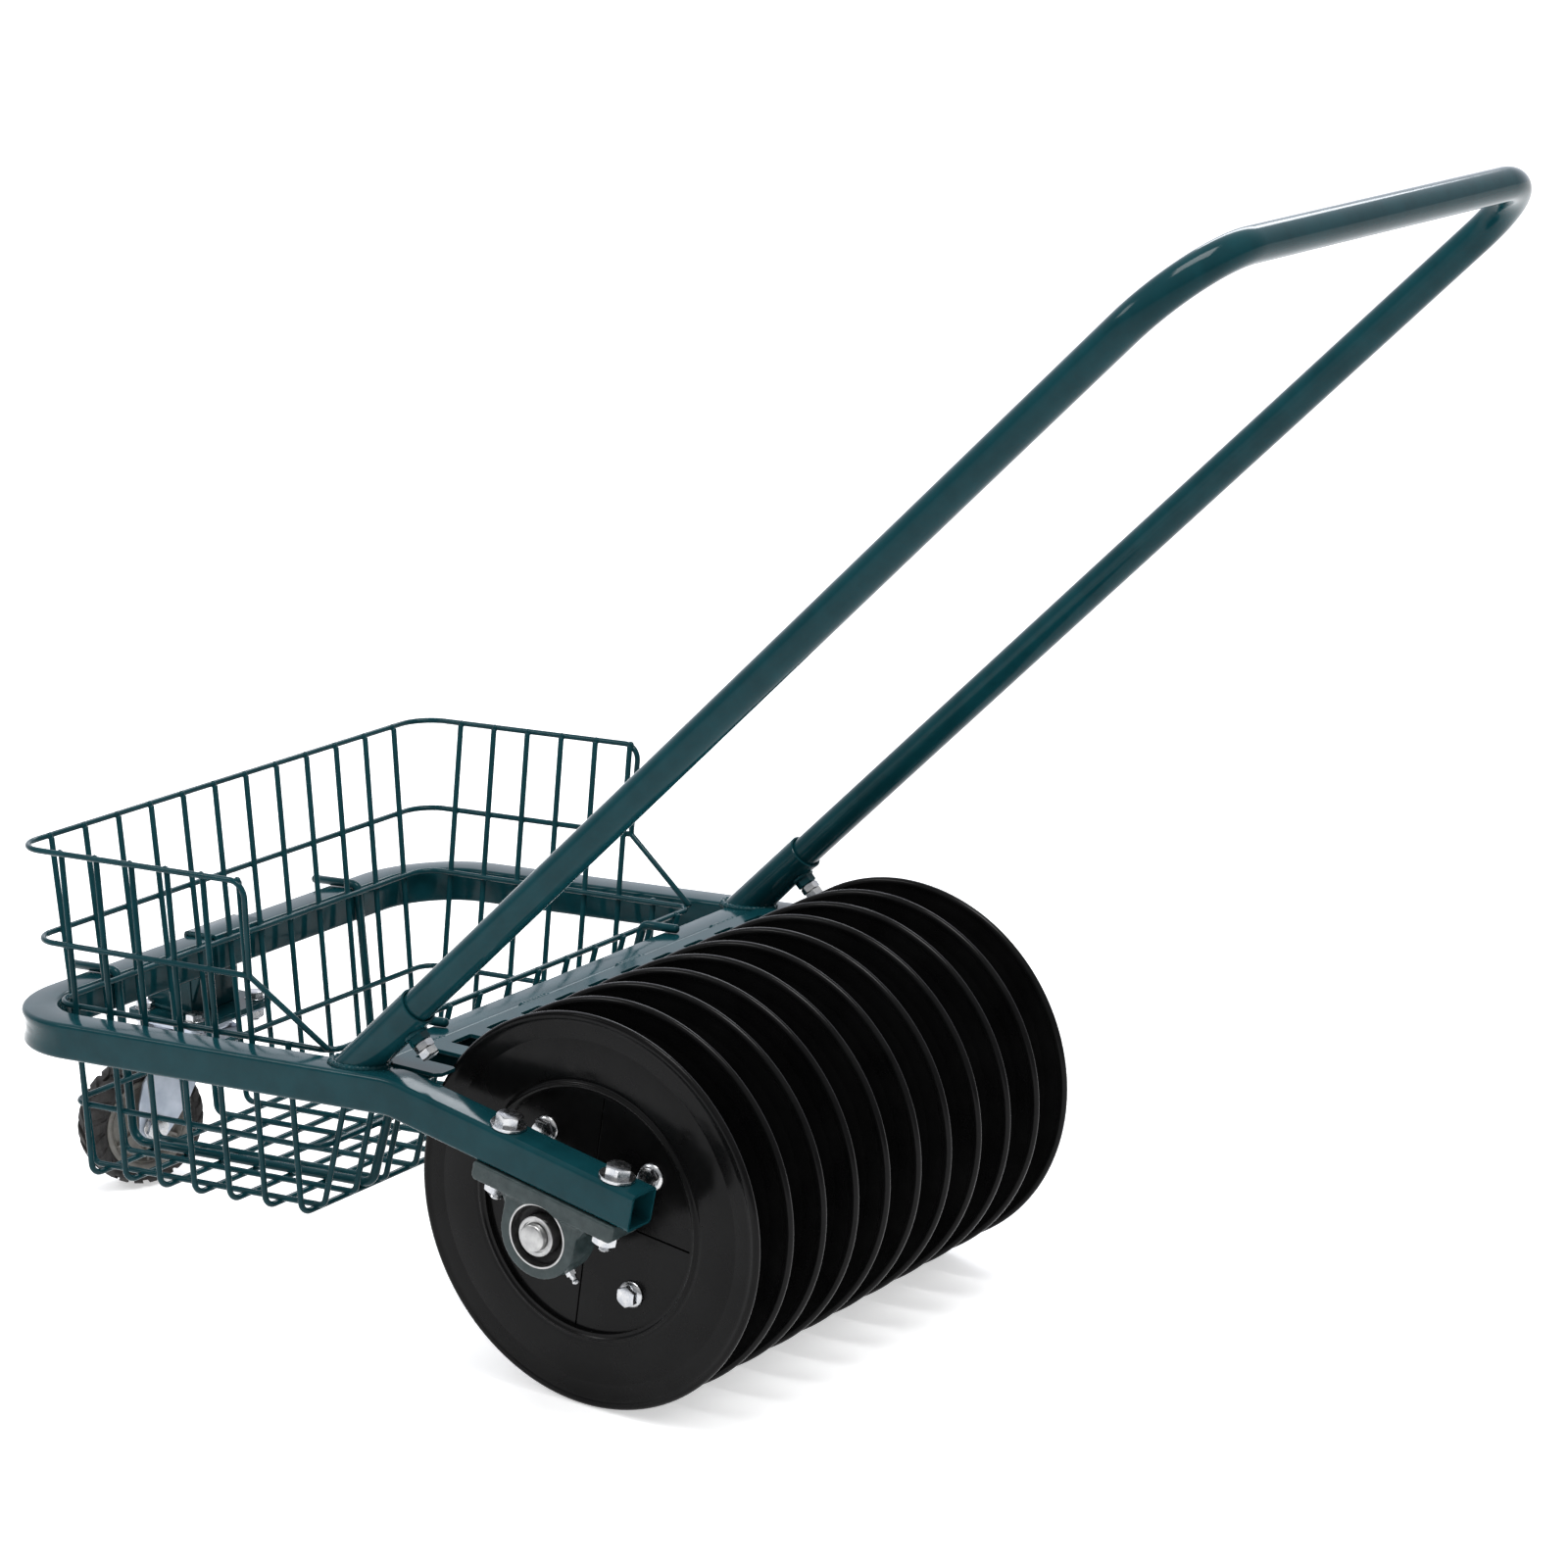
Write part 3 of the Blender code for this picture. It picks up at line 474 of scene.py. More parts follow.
# Grey-green enamel over the rough skin of a casting.
CAST = look(
    "cast_housing", specular=0.3,
    clouds=(130.0, 5.0), shades=((0.013, 0.024, 0.025), (0.024, 0.038, 0.039)),
    smudges=(210.0, 4.0), gloss=(0.32, 0.55),
    bumps=[((620.0, 4.0, 0.65), 0.45, 0.0004)],
)
# Ground steel. Its bumps are rings, added below.
STEEL = look(
    "bearing_steel", metallic=1.0,
    clouds=(180.0, 5.0), shades=((0.31, 0.31, 0.31), (0.41, 0.41, 0.405)),
    smudges=(240.0, 5.0), gloss=(0.32, 0.46), bumps=[],
)
# The bearing's black seal.
SEAL = look(
    "seal_rubber", slot="bearing_steel", specular=0.2,
    clouds=(300.0,), shades=((0.003, 0.003, 0.003), (0.007, 0.007, 0.007)),
    smudges=(400.0, 4.0), gloss=(0.38, 0.6),
    bumps=[((1500.0, 2.0), 0.2, 0.0001)],
)
# Matt dark rubber with a dusty bloom.
RUBBER = look(
    "caster_rubber", specular=0.25,
    clouds=(95.0, 6.0), shades=((0.013, 0.0125, 0.0125), (0.030, 0.0285, 0.028)),
    smudges=(150.0, 5.0), gloss=(0.6, 0.85),
    bumps=[((1100.0, 4.0), 0.35, 0.0002)],
)
# The pale moulded rim of the caster wheel.
PALE = look(
    "rim_plastic", specular=0.35,
    clouds=(120.0, 5.0), shades=((0.12, 0.115, 0.105), (0.18, 0.172, 0.155)),
    smudges=(200.0, 4.0), gloss=(0.34, 0.5),
    bumps=[((800.0, 3.0), 0.15, 0.00015)],
)


def lathe_rings(material):
    """The fine rings that a lathe leaves, about the roller's axis."""
    place = add_node(material, "TexCoord")
    shift = add_node(material, "Mapping", Location=-in_metres(AXLE))
    rings = add_node(material, "TexWave", wave_type="RINGS", rings_direction="X",
                     Scale=420.0, Distortion=1.2)
    link(material, place.outputs["Object"], shift.inputs["Vector"])
    link(material, shift.outputs["Vector"], rings.inputs["Vector"])
    add_bumps(material, [(rings.outputs["Fac"], 0.10, 0.00012)])


lathe_rings(STEEL.material)


# ---- making pieces
def mesh_of(name, shells):
    """A mesh from shells in millimetres."""
    points, faces = joined(shells)
    mesh = bpy.data.meshes.new(name)
    mesh.from_pydata(in_metres(points).tolist(), [], faces)
    return mesh


def placed(name, data):
    obj = bpy.data.objects.new(name, data)
    bpy.context.scene.collection.objects.link(obj)
    return obj


def piece(name, shells, finish, *nodes, sharp=34.0, bevel=0.0):
    """A visible piece. It rides with the CAD nodes that it stands for."""
    mesh = mesh_of(name, shells)
    editor = bmesh.new()
    editor.from_mesh(mesh)
    bmesh.ops.recalc_face_normals(editor, faces=editor.faces)
    editor.to_mesh(mesh)
    editor.free()
    mesh.shade_smooth()
    mesh.set_sharp_from_angle(angle=radians(sharp))
    mesh.materials.append(finish.material)
    obj = placed(name, mesh)
    if bevel:
        edges = obj.modifiers.new("edges", "BEVEL")
        edges.width = bevel / PER_METRE
        edges.segments = 2
        edges.limit_method = "ANGLE"
        edges.angle_limit = radians(40)
        edges.harden_normals = True
    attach(obj, NODES[nodes[0]]["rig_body"])
    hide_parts(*nodes)
    return obj


# ---- layout
RISE = 0.07  # the frame's plane rises to the rear
TILT = atan(RISE)
DROP = radians(10.56)  # the bearing arms fall to the rear
ARM = vec(0, cos(DROP), -sin(DROP))
ARM_N = vec(0, sin(DROP), cos(DROP))
FRAME_Y = vec(0, cos(TILT), sin(TILT))
FRAME_N = vec(0, -sin(TILT), cos(TILT))
FRAME_TOP = 242.65  # height of the frame's top plane at the axle
TUBE_HALF = 14.0
TUBE_WALL = 2.0
TUBE_CORNER = 3.4
BORE_CORNER = 1.6
ARM_X = 255.0
ARM_REACH = 72.0  # from the bearing's centre to the open end of the arm
ARM_RISE = 47.6  # from the bearing's centre to the centre line of the arm
ARM_BEND = 60.0
BOLT_REACH = 47.5  # from the bearing's centre to each of its bolts
BEND_Y = -133.4  # where the side tube bends down to the arm
FRONT_Y = -511.0
FRONT_CORNER = 68.0
CORNER_STEPS = 24
CORNER_LEAD = 4.0
CORNER_SINK = 2.4  # the bend draws the tube's inner wall in
CROSSBAR_Y = -174.0


def top_z(y):
    return FRAME_TOP + RISE * y


def centre_z(y):
    return top_z(y) - TUBE_HALF / cos(TILT)


# ---- frame
def frame_tube():
    """One square tube: two arms, two sides and the front, with open arm ends."""
    square = rounded_square(TUBE_HALF, TUBE_CORNER)
    first = FRONT_Y + FRONT_CORNER
    halves = []
    for s in (1, -1):
        arm_end = AXLE + ARM_N * ARM_RISE + ARM * ARM_REACH + X * s * ARM_X
        bend = vec(s * ARM_X, BEND_Y, centre_z(BEND_Y))
        side_end = vec(s * ARM_X, first + CORNER_LEAD, centre_z(first + CORNER_LEAD))
        path = rounded([arm_end, bend, side_end], [ARM_BEND], 8)
        outlines = [square] * len(path)
        for i in range(CORNER_STEPS + 1):
            a = radians(90.0 * i / CORNER_STEPS)
            y = first - FRONT_CORNER * sin(a)
            path.append(vec(s * (ARM_X - FRONT_CORNER * (1 - cos(a))), y, centre_z(y)))
            sink = CORNER_SINK * sin(2 * a) ** 0.6 if 0 < i < CORNER_STEPS else 0.0
            outlines.append(rounded_square(TUBE_HALF, TUBE_CORNER, sink=sink))
        halves.append((path, outlines))
    path = halves[0][0] + halves[1][0][::-1]
    outlines = halves[0][1] + halves[1][1][::-1]
    inner = rounded_square(TUBE_HALF - TUBE_WALL, BORE_CORNER)
    shell = tube(path, outlines, inner, up=FRAME_N)
    piece("frame_tube_look", [shell], TEAL, "frame_tube", sharp=50)


def crossbar():
    centre = vec(0, CROSSBAR_Y, centre_z(CROSSBAR_Y))
    reach = ARM_X - TUBE_HALF
    square = rounded_square(TUBE_HALF, TUBE_CORNER)
    shells = [sweep([centre - X * reach, centre + X * reach], square, up=FRAME_N)]
    for s in (1, -1):
        loop = rounded_square(TUBE_HALF + 0.4, TUBE_CORNER, steps=6)
        around = [centre + X * s * (reach - 0.8) + a * FRAME_Y + b * FRAME_N for a, b in loop]
        shells.append(bead(around, 2.3, closed=True))
    piece("crossbar_look", shells, TEAL, "crossbar", sharp=50)


DISC_NODES = sorted(n for n in NODES if n.startswith("disc_"))
DISC_X = [centre_mm(n)[0] for n in DISC_NODES]
COMB_TOP = box_mm("comb_plate")[1][2]
COMB_THICK = COMB_TOP - box_mm("comb_plate")[0][2]
COMB_HALF = 240.5
COMB_FRONT = -157.2
COMB_CORNER = 8.0
TOOTH_END = -95.0
OUTER_END = -108.0  # the two outer teeth are shorter
OUTER_EASE = 4.0
SLOT_ROOT = -146.0
SLOT_HALF = 11.7
SLOT_CORNER = 2.0
LEDGE_FRONT = -160.8  # the strip that closes the gap between comb and crossbar
LEDGE_REAR = -155.8
COMB_BRIDGES = (-187.0, -61.0, 61.0, 187.0)  # where the comb is welded to the crossbar


def slot(x, near_end, far_end):
    """One slot of the comb, with rounded roots and teeth eased at their tips."""
    flat = SLOT_HALF - SLOT_CORNER
    outline = [(x + SLOT_HALF + 2.0, near_end), (x + SLOT_HALF, near_end - 3.0)]
    for s, turns in ((1, (0.0, 0.4, 0.8, 1.2, 1.57)), (-1, (1.57, 1.2, 0.8, 0.4, 0.0))):
        for t in turns:
            across = s * (flat + SLOT_CORNER * cos(t))
            outline.append((x + across, SLOT_ROOT + SLOT_CORNER * (1 - sin(t))))
    return outline + [(x - SLOT_HALF, far_end - 3.0), (x - SLOT_HALF - 2.0, far_end)]


def comb_outline():
    """The stripper comb: a slot for each disc, and front corners cut off at the sockets."""
    outline = [(COMB_CORNER - COMB_HALF, COMB_FRONT), (COMB_HALF - COMB_CORNER, COMB_FRONT)]
    tooth = [(COMB_HALF, OUTER_END - OUTER_EASE), (COMB_HALF - OUTER_EASE, OUTER_END)]
    outline += [(COMB_HALF, COMB_FRONT + COMB_CORNER)] + tooth
    for i, x in enumerate(DISC_X):
        near_end = OUTER_END if i == 0 else TOOTH_END
        far_end = OUTER_END if i == len(DISC_X) - 1 else TOOTH_END
        outline += slot(x, near_end, far_end)
    outline += [(-x, y) for x, y in tooth[::-1]]
    return outline + [(-COMB_HALF, COMB_FRONT + COMB_CORNER)]


def comb_plate():
    plate = slab(vec(0, 0, 0), X, Y, Z, comb_outline(), COMB_TOP - COMB_THICK, COMB_TOP)
    ledge = [(-COMB_HALF, LEDGE_FRONT), (COMB_HALF, LEDGE_FRONT)]
    ledge += [(COMB_HALF, LEDGE_REAR), (-COMB_HALF, LEDGE_REAR)]
    strip = slab(Z * (COMB_TOP - 2.2 * COMB_THICK), X, Y, Z, ledge, 0.0, 1.1 * COMB_THICK)
    piece("comb_plate_look", [plate, strip], TEAL, "comb_plate", bevel=0.4)
    bridges = []
    for x in COMB_BRIDGES:
        for y, reach in ((COMB_FRONT - 2.9, 15.0), (COMB_FRONT - 0.8, 18.0)):
            start = vec(x - reach, y, COMB_TOP - 2.2)
            bridges.append(bead(straight(start, start + X * 2 * reach), 2.2))
    piece("comb_welds", bridges, TEAL, "comb_plate", sharp=60)


# ---- handle and sockets
LEG_FOOT = vec(246.4, -146.0, 259.7)  # on the leg's axis, at the foot of its socket
AXIS = unit(vec(0, 0.7086, 0.7056))  # up a handle leg
BACK = vec(0, AXIS[2], -AXIS[1])  # square to it, to the rear and down
SOCKET_R = 14.5
SOCKET_BORE = 12.55
SOCKET_LENGTH = 34.6
HANDLE_R = 12.0
HANDLE_BORE = 10.2
HANDLE_BEND = 68.0
HANDLE_LENGTH = 872.0
HANDLE_SUNK = 25.5  # how far a leg goes down into its socket
CLAMP_RISE = 17.7  # the clamp bolt's place up the socket


def down_to_tube(point, lift):
    """Slides a point along a leg's axis down to the top of the side tube."""
    gap = top_z(point[1]) + lift - point[2]
    return point + AXIS * gap / (AXIS[2] - RISE * AXIS[1])


def socket(s, tag):
    """A socket welded to the side tube, with a clamp bolt through a welded nut."""
    foot = LEG_FOOT * vec(s, 1, 1)

    def around(radius, height=None, sides=56):
        """A ring about the leg's axis: at a height, or where it meets the tube."""
        ring = [foot + u * X + v * BACK for u, v in circle(radius, sides)]
        if height is None:
            return [down_to_tube(point, -0.5) for point in ring]
        return [point + AXIS * height for point in ring]

    rings = [around(SOCKET_R), around(SOCKET_R, SOCKET_LENGTH - 0.5)]
    rings += [around(SOCKET_R - 0.5, SOCKET_LENGTH), around(SOCKET_BORE + 0.5, SOCKET_LENGTH)]
    rings += [around(SOCKET_BORE, SOCKET_LENGTH - 0.5), around(SOCKET_BORE)]
    seam = [down_to_tube(point, 0.4) for point in around(SOCKET_R + 0.5, 0.0, 150)]
    clamp = foot + AXIS * CLAMP_RISE
    seat = [clamp + BACK * 13.9 + a * AXIS + b * X for a, b in circle(7.6, 60)]
    shells = [
        skin(rings, closed=True),
        bead(seam, 2.7, closed=True, pitch=4.1),
        hex_head(clamp, BACK, 14.0, 13.0, 21.0, ref=AXIS),
        bead(seat, 1.7, closed=True, pitch=3.0),
    ]
    piece("socket_look_" + tag, shells, TEAL, "socket_" + tag, sharp=40)
    lock = hex_head(clamp, BACK, 13.0, 21.3, 27.0, ref=AXIS, both=True)
    piece("lock_nut_look_" + tag, [lock], ZINC, "lock_nut_" + tag)
    shank = threaded(clamp, BACK, 4.0, 12.4, 27.6)
    head = hex_head(clamp, BACK, 13.0, 27.4, 33.0, ref=AXIS + 0.35 * X)
    piece("clamp_bolt_look_" + tag, [shank, head], ZINC, "clamp_bolt_" + tag)


def handle():
    """A round tube bent to a U, with its two legs in the sockets."""
    centre = LEG_FOOT - X * HANDLE_BEND + AXIS * (HANDLE_LENGTH - HANDLE_BEND)
    leg = [LEG_FOOT - AXIS * HANDLE_SUNK]
    leg += arc(centre, X, AXIS, HANDLE_BEND, 0, 90, 28)
    path = leg + mirrored(leg[::-1])
    shell = tube(path, circle(HANDLE_R, 48), circle(HANDLE_BORE, 48), up=BACK)
    piece("handle_look", [shell], TEAL, "handle", sharp=50)


# ---- roller
DISC_R = (box_mm("disc_01")[1][2] - box_mm("disc_01")[0][2]) / 2.0
DRUM_R = 90.0
DRUM_HALF = 207.0
TIE_R = 65.5
TIE_ANGLES = (35.0, 125.0, 215.0, 305.0)


def around_axle(angle):
    a = radians(angle)
    return cos(a) * Y + sin(a) * Z


def discs():
    """Eleven discs with a bead at the hub, a step in the face and a rolled rim."""
    side = [(DRUM_R - 0.5, 2.5), (91.6, 2.5), (92.2, 2.7), (92.6, 3.5), (93.4, 3.9), (94.2, 3.5)]
    side += [(94.7, 2.7), (95.6, 2.1), (96.8, 2.0), (97.8, 2.3), (99.5, 2.5)]
    side += [(112.0, 2.3), (125.6, 2.2), (126.6, 2.0), (127.4, 2.0), (128.4, 2.2), (137.6, 2.1)]
    side += [(139.4, 2.15), (140.8, 2.5), (142.2, 3.0), (143.6, 2.95), (144.8, 2.4)]
    side += [(145.6, 1.5), (DISC_R, 0.5)]
    for name, x in zip(DISC_NODES, DISC_X):
        shell = turned(AXLE + X * x, X, two_sided(side), 144, ref=Z)
        piece(name + "_look", [shell], BLACK, name, sharp=60)


def drum():
    """The drum between the discs, and the hub plates that close its ends."""
    body = [(16.0, DRUM_HALF - 3.0), (DRUM_R, DRUM_HALF - 3.0)]
    shells = [turned(AXLE, X, two_sided(body), 128, ref=Z)]
    shells += hub_plates(1) + hub_plates(-1)
    piece("roller_drum_look", shells, BLACK, "roller_drum", bevel=0.35)


SEAM_ANGLES = (-97.0, -7.5, 82.0, 172.5)
SEAM_HALF = 0.55
PLATE_STEPS = 24


def hub_plates(s):
    """Four quarter plates with a narrow seam between each two, and a boss at the shaft."""
    plates = []
    for i, start in enumerate(SEAM_ANGLES):
        end = SEAM_ANGLES[(i + 1) % 4] + (360.0 if i == 3 else 0.0)
        outline = []
        for radius, a0, a1 in ((17.0, start, end), (91.4, end, start)):
            trim = degrees(SEAM_HALF / radius)
            a0 += trim if a0 < a1 else -trim
            a1 += -trim if a0 < a1 else trim
            for k in range(PLATE_STEPS + 1):
                a = radians(a0 + (a1 - a0) * k / PLATE_STEPS)
                outline.append((radius * cos(a), radius * sin(a)))
        plates.append(slab(AXLE, Y, Z, X, outline, s * (DRUM_HALF - 4.0), s * DRUM_HALF))
    boss = [(11.0, 200.0), (11.0, 211.5), (19.0, 211.5), (20.5, 210.0), (21.5, 200.0)]
    return plates + [turned(AXLE, X, [(r, s * h) for r, h in boss], 64, ref=Z)]


def shaft():
    """A ground shaft whose ends are chamfered."""
    end = box_mm("roller_shaft")[1][0]
    nose = [(8.6, end), (9.6, end - 0.5), (10.0, end - 1.2)]
    profile = [(r, -h) for r, h in nose] + nose[::-1]
    piece("roller_shaft_look", [rod(AXLE, X, profile, 64)], STEEL, "roller_shaft")


def tie_rods():
    """Four rods through the drum. Each end shows a flanged hexagon head."""
    flange = [(4.8, 207.4), (9.8, 207.4), (10.0, 208.2), (9.6, 209.0), (7.4, 210.4), (4.8, 210.4)]
    for i, angle in enumerate(TIE_ANGLES):
        at = AXLE + TIE_R * around_axle(angle)
        shells = [rod(at, X, [(5.0, -208.0), (5.0, 208.0)], 24)]
        for axis in (X, -X):
            shells.append(turned(at, axis, flange, 48))
            shells.append(hex_head(at, axis, 14.0, 209.6, 215.0, ref=around_axle(angle + 17.0 * i)))
        piece("tie_rod_look_%d" % (i + 1), shells, ZINC, "tie_rod_%d" % (i + 1))


# ---- bearings
BASE_HALF = 61.5
BASE_TOP = 33.3
BASE_LOW = 20.0
BASE_WIDE = 15.5
BODY_R = 31.5
BODY_HALF = 13.5
BORE_R = 23.9
NIPPLE = unit(vec(0, 0.6, -0.8))


def casting(centre):
    """The overlapping lumps that make a pillow block, before they are fused."""
    base = [(-BASE_HALF, BASE_TOP), (BASE_HALF, BASE_TOP), (BASE_HALF, 22.5), (59.0, BASE_LOW)]
    base += [(-59.0, BASE_LOW), (-BASE_HALF, 22.5)]
    body = [(-BODY_R, 26.0), (BODY_R, 26.0), (BODY_R, 0.0)]
    body += [(BODY_R * cos(t), BODY_R * sin(t)) for t in np.linspace(0, -pi, 25)[1:]]
    shoulder = [(-37.0, 21.0), (37.0, 21.0), (37.0, 19.0), (29.0, 6.0), (-29.0, 6.0), (-37.0, 19.0)]
    return [
        slab(centre, ARM, ARM_N, X, base, -BASE_WIDE, BASE_WIDE),
        slab(centre, ARM, ARM_N, X, body, -BODY_HALF, BODY_HALF),
        slab(centre, ARM, ARM_N, X, shoulder, -11.5, 11.5),
        rod(centre, NIPPLE, [(6.0, 26.0), (6.0, 31.6), (5.2, 32.2)], 24),
    ]


def housing(centre, tag):
    """The cast housing: its lumps fused, softened, then bored. A steel ring lines the bore."""
    node = "bearing_housing_" + tag
    obj = piece("bearing_housing_look_" + tag, casting(centre), CAST, node)
    fuse = obj.modifiers.new("fuse", "REMESH")
    fuse.mode = "VOXEL"
    fuse.voxel_size = 0.0009
    fuse.use_smooth_shade = True
    soften = obj.modifiers.new("soften", "SMOOTH")
    soften.factor = 0.5
    soften.iterations = 5
    bore(obj, [rod(centre, X, [(BORE_R - 0.2, -20.0), (BORE_R - 0.2, 20.0)], 96)])
    ring = turned(centre, X, two_sided([(BORE_R - 1.6, 13.9), (BORE_R - 0.1, 13.9)]), 96)
    piece("bearing_ring_" + tag, [ring], STEEL, "bearing_insert_" + tag, bevel=0.3)


def bore(obj, cutter_shells):
    """Cuts a shell out of a piece, and makes its modifiers real."""
    cutter = placed("cutter", mesh_of("cutter", cutter_shells))
    cut = obj.modifiers.new("bore", "BOOLEAN")
    cut.operation = "DIFFERENCE"
    cut.object = cutter
    bpy.context.view_layer.update()
    graph = bpy.context.evaluated_depsgraph_get()
    made = bpy.data.meshes.new_from_object(obj.evaluated_get(graph))
    obj.modifiers.clear()
    old = obj.data
    obj.data = made
    bpy.data.meshes.remove(old)
    bpy.data.objects.remove(cutter)
    made.shade_smooth()
    made.set_sharp_from_angle(angle=radians(45))


def bearing_inside(centre, tag):
    """The seal, the shaft's collar with its four set screws, and the grease nipple."""
    seal = [(14.7, 5.6), (16.6, 6.8), (20.0, 7.6), (21.0, 7.2), (BORE_R - 1.7, 7.4)]
    shell = turned(centre, X, two_sided(seal), 72)
    piece("bearing_seal_" + tag, [shell], SEAL, "bearing_insert_" + tag)
    collar = [(10.2, 14.2), (11.3, 14.2), (11.5, 15.5), (13.9, 15.5), (14.5, 14.9)]
    shells = [turned(centre, X, two_sided(collar), 64)]
    for angle in (62.0, 182.0):
        for side in (12.4, -12.4):
            at = centre + X * side
            shells.append(hex_head(at, around_axle(angle), 4.0, 12.0, 14.9, ref=X, count=24))
    piece("bearing_collar_look_" + tag, shells, STEEL, "bearing_collar_" + tag)
    nipple = [(2.6, 35.0), (2.5, 36.8), (1.9, 38.0), (2.0, 38.8), (2.7, 39.9), (2.6, 41.0), (1.4, 42.0)]
    shells = [hex_head(centre, NIPPLE, 7.0, 31.0, 35.4, ref=X), rod(centre, NIPPLE, nipple, 24)]
    piece("grease_nipple_" + tag, shells, ZINC, "bearing_housing_" + tag)


def bearing_bolts(centre, tag):
    """Two bolts down through the arm and the housing's feet, with washers and nuts."""
    for end, reach, twist in (("front", -BOLT_REACH, -0.2), ("rear", BOLT_REACH, 0.5)):
        at = centre + ARM * reach
        shells = [
            washer(at, ARM_N, 5.2, 13.0, 61.75, 64.2),
            hex_head(at, ARM_N, 17.0, 64.2, 71.4, ref=ARM + X * twist),
            rod(at, ARM_N, [(5.0, 12.0), (5.0, 66.0)], 24),
            threaded(at, ARM_N, 5.0, 12.0, 6.0),
        ]
        name = tag + "_" + end
        piece("bearing_bolt_look_" + name, shells, ZINC, "bearing_bolt_" + name)
        shells = [
            hex_head(at, ARM_N, 17.0, 11.3, 19.0, ref=ARM + X * 0.8, both=True),
            washer(at, ARM_N, 5.2, 10.5, 18.6, BASE_LOW),
        ]
        piece("bearing_nut_look_" + name, shells, ZINC, "bearing_nut_" + name)


# ---- caster
KING = vec(0, -538.0, 0)
SWING = radians(-18.8)  # the fork's rest angle about the kingpin
TRAIL_DIR = vec(cos(SWING), sin(SWING), 0)
WHEEL_AXIS = vec(-sin(SWING), cos(SWING), 0)
TYRE_R = 51.5
HUB = KING + TRAIL_DIR * 56.0 + Z * TYRE_R
PLATE_HALF_X = 46.0
PLATE_HALF_Y = 34.0
BOLT_X = 36.5
BOLT_Y = 26.0
SADDLE_HALF = 29.0
WELD_Z = 140.4  # just over the bracket's plate


def rounded_box(low, high, radius, steps=5):
    """An upright block whose outline has round corners: a pressed plate."""
    middle = (low + high) / 2.0
    reach = (high - low) / 2.0 - radius
    outline = []
    for sx, sy, start in ((1, 1, 0), (-1, 1, 90), (-1, -1, 180), (1, -1, 270)):
        for i in range(steps + 1):
            a = radians(start + 90 * i / steps)
            outline.append((middle[0] + sx * reach[0] + radius * cos(a),
                            middle[1] + sy * reach[1] + radius * sin(a)))
    return slab(vec(0, 0, 0), X, Y, Z, outline, low[2], high[2])


def caster_bracket():
    """A saddle over the front tube, a gusset and the plate that holds the caster."""
    at = vec(0, FRONT_Y, centre_z(FRONT_Y))
    saddle = [(17.4, -11.0), (17.4, 14.0), (16.4, 16.4), (14.0, 17.4), (-14.0, 17.4)]
    saddle += [(-16.4, 16.4), (-17.4, 14.0), (-17.4, -52.5), (-14.2, -52.5), (-14.2, 14.2)]
    saddle += [(14.2, 14.2), (14.2, -11.0)]
    under = FRONT_Y + 14.0
    low_z = centre_z(under) - TUBE_HALF - 0.6
    gusset = [(-526.5, 137.0), (-522.0, 150.0), (-512.0, 178.0), (under, low_z - 2.0), (under, low_z)]
    gusset += [(-524.9, low_z - 1.0), (-527.0, 190.0), (-540.0, 176.0), (-569.0, 146.0), (-571.0, 139.0)]
    shells = [
        slab(at, FRAME_Y, FRAME_N, X, saddle, -SADDLE_HALF, SADDLE_HALF),
        slab(vec(0, 0, 0), Y, Z, X, gusset, 24.0, 28.0),
        rounded_box(vec(-PLATE_HALF_X, -576.0, 134.3), vec(PLATE_HALF_X, -500.0, 139.3), 5.0),
    ]
    piece("caster_bracket_look", shells, TEAL, "caster_bracket", bevel=0.6)
    welds = []
    for x in (28.8, 23.2):
        welds.append(bead(straight(vec(x, -567.0, WELD_Z), vec(x, -524.0, WELD_Z)), 2.2))
    for x in (SADDLE_HALF + 0.6, -SADDLE_HALF - 0.6):
        front, rear = [vec(x, y, top_z(y) + 0.8) for y in (FRONT_Y - 12.0, FRONT_Y + 12.0)]
        welds.append(bead(straight(front, rear), 2.0))
    piece("caster_bracket_welds", welds, TEAL, "caster_bracket", sharp=60)


def caster_top():
    """The zinc top plate, its ball race and kingpin, and the four bolts."""
    low = KING + vec(-PLATE_HALF_X, -PLATE_HALF_Y, 131.0)
    high = KING + vec(PLATE_HALF_X, PLATE_HALF_Y, 134.0)
    race = [(5.8, 122.8), (24.0, 122.8), (25.4, 123.6), (26.0, 125.2), (25.6, 127.0)]
    race += [(22.0, 129.0), (20.6, 131.6), (5.8, 131.6)]
    pin = [(7.0, 112.0), (8.0, 112.8), (8.0, 116.0), (7.4, 116.8), (5.8, 117.0), (5.8, 123.0)]
    shells = [rounded_box(low, high, 7.0), turned(KING, Z, race, 64), rod(KING, Z, pin, 40)]
    piece("caster_plate_look", shells, SHEET, "caster_plate", bevel=0.4)
    for i, (sx, sy) in enumerate(((1, 1), (-1, 1), (-1, -1), (1, -1))):
        at = KING + vec(sx * BOLT_X, sy * BOLT_Y, 0)
        shells = [
            hex_head(at, Z, 13.0, 139.9, 145.4, ref=X + 0.3 * i * Y),
            washer(at, Z, 4.2, 8.0, 139.35, 140.1),
            hex_head(at, Z, 13.0, 124.0, 130.7, ref=X - 0.4 * i * Y, both=True),
            rod(at, Z, [(4.0, 125.0), (4.0, 141.0)], 20),
            threaded(at, Z, 4.0, 125.0, 121.0),
        ]
        name = "caster_bolt_look_%d" % (i + 1)
        piece(name, shells, ZINC, "caster_bolt_%d" % (i + 1))


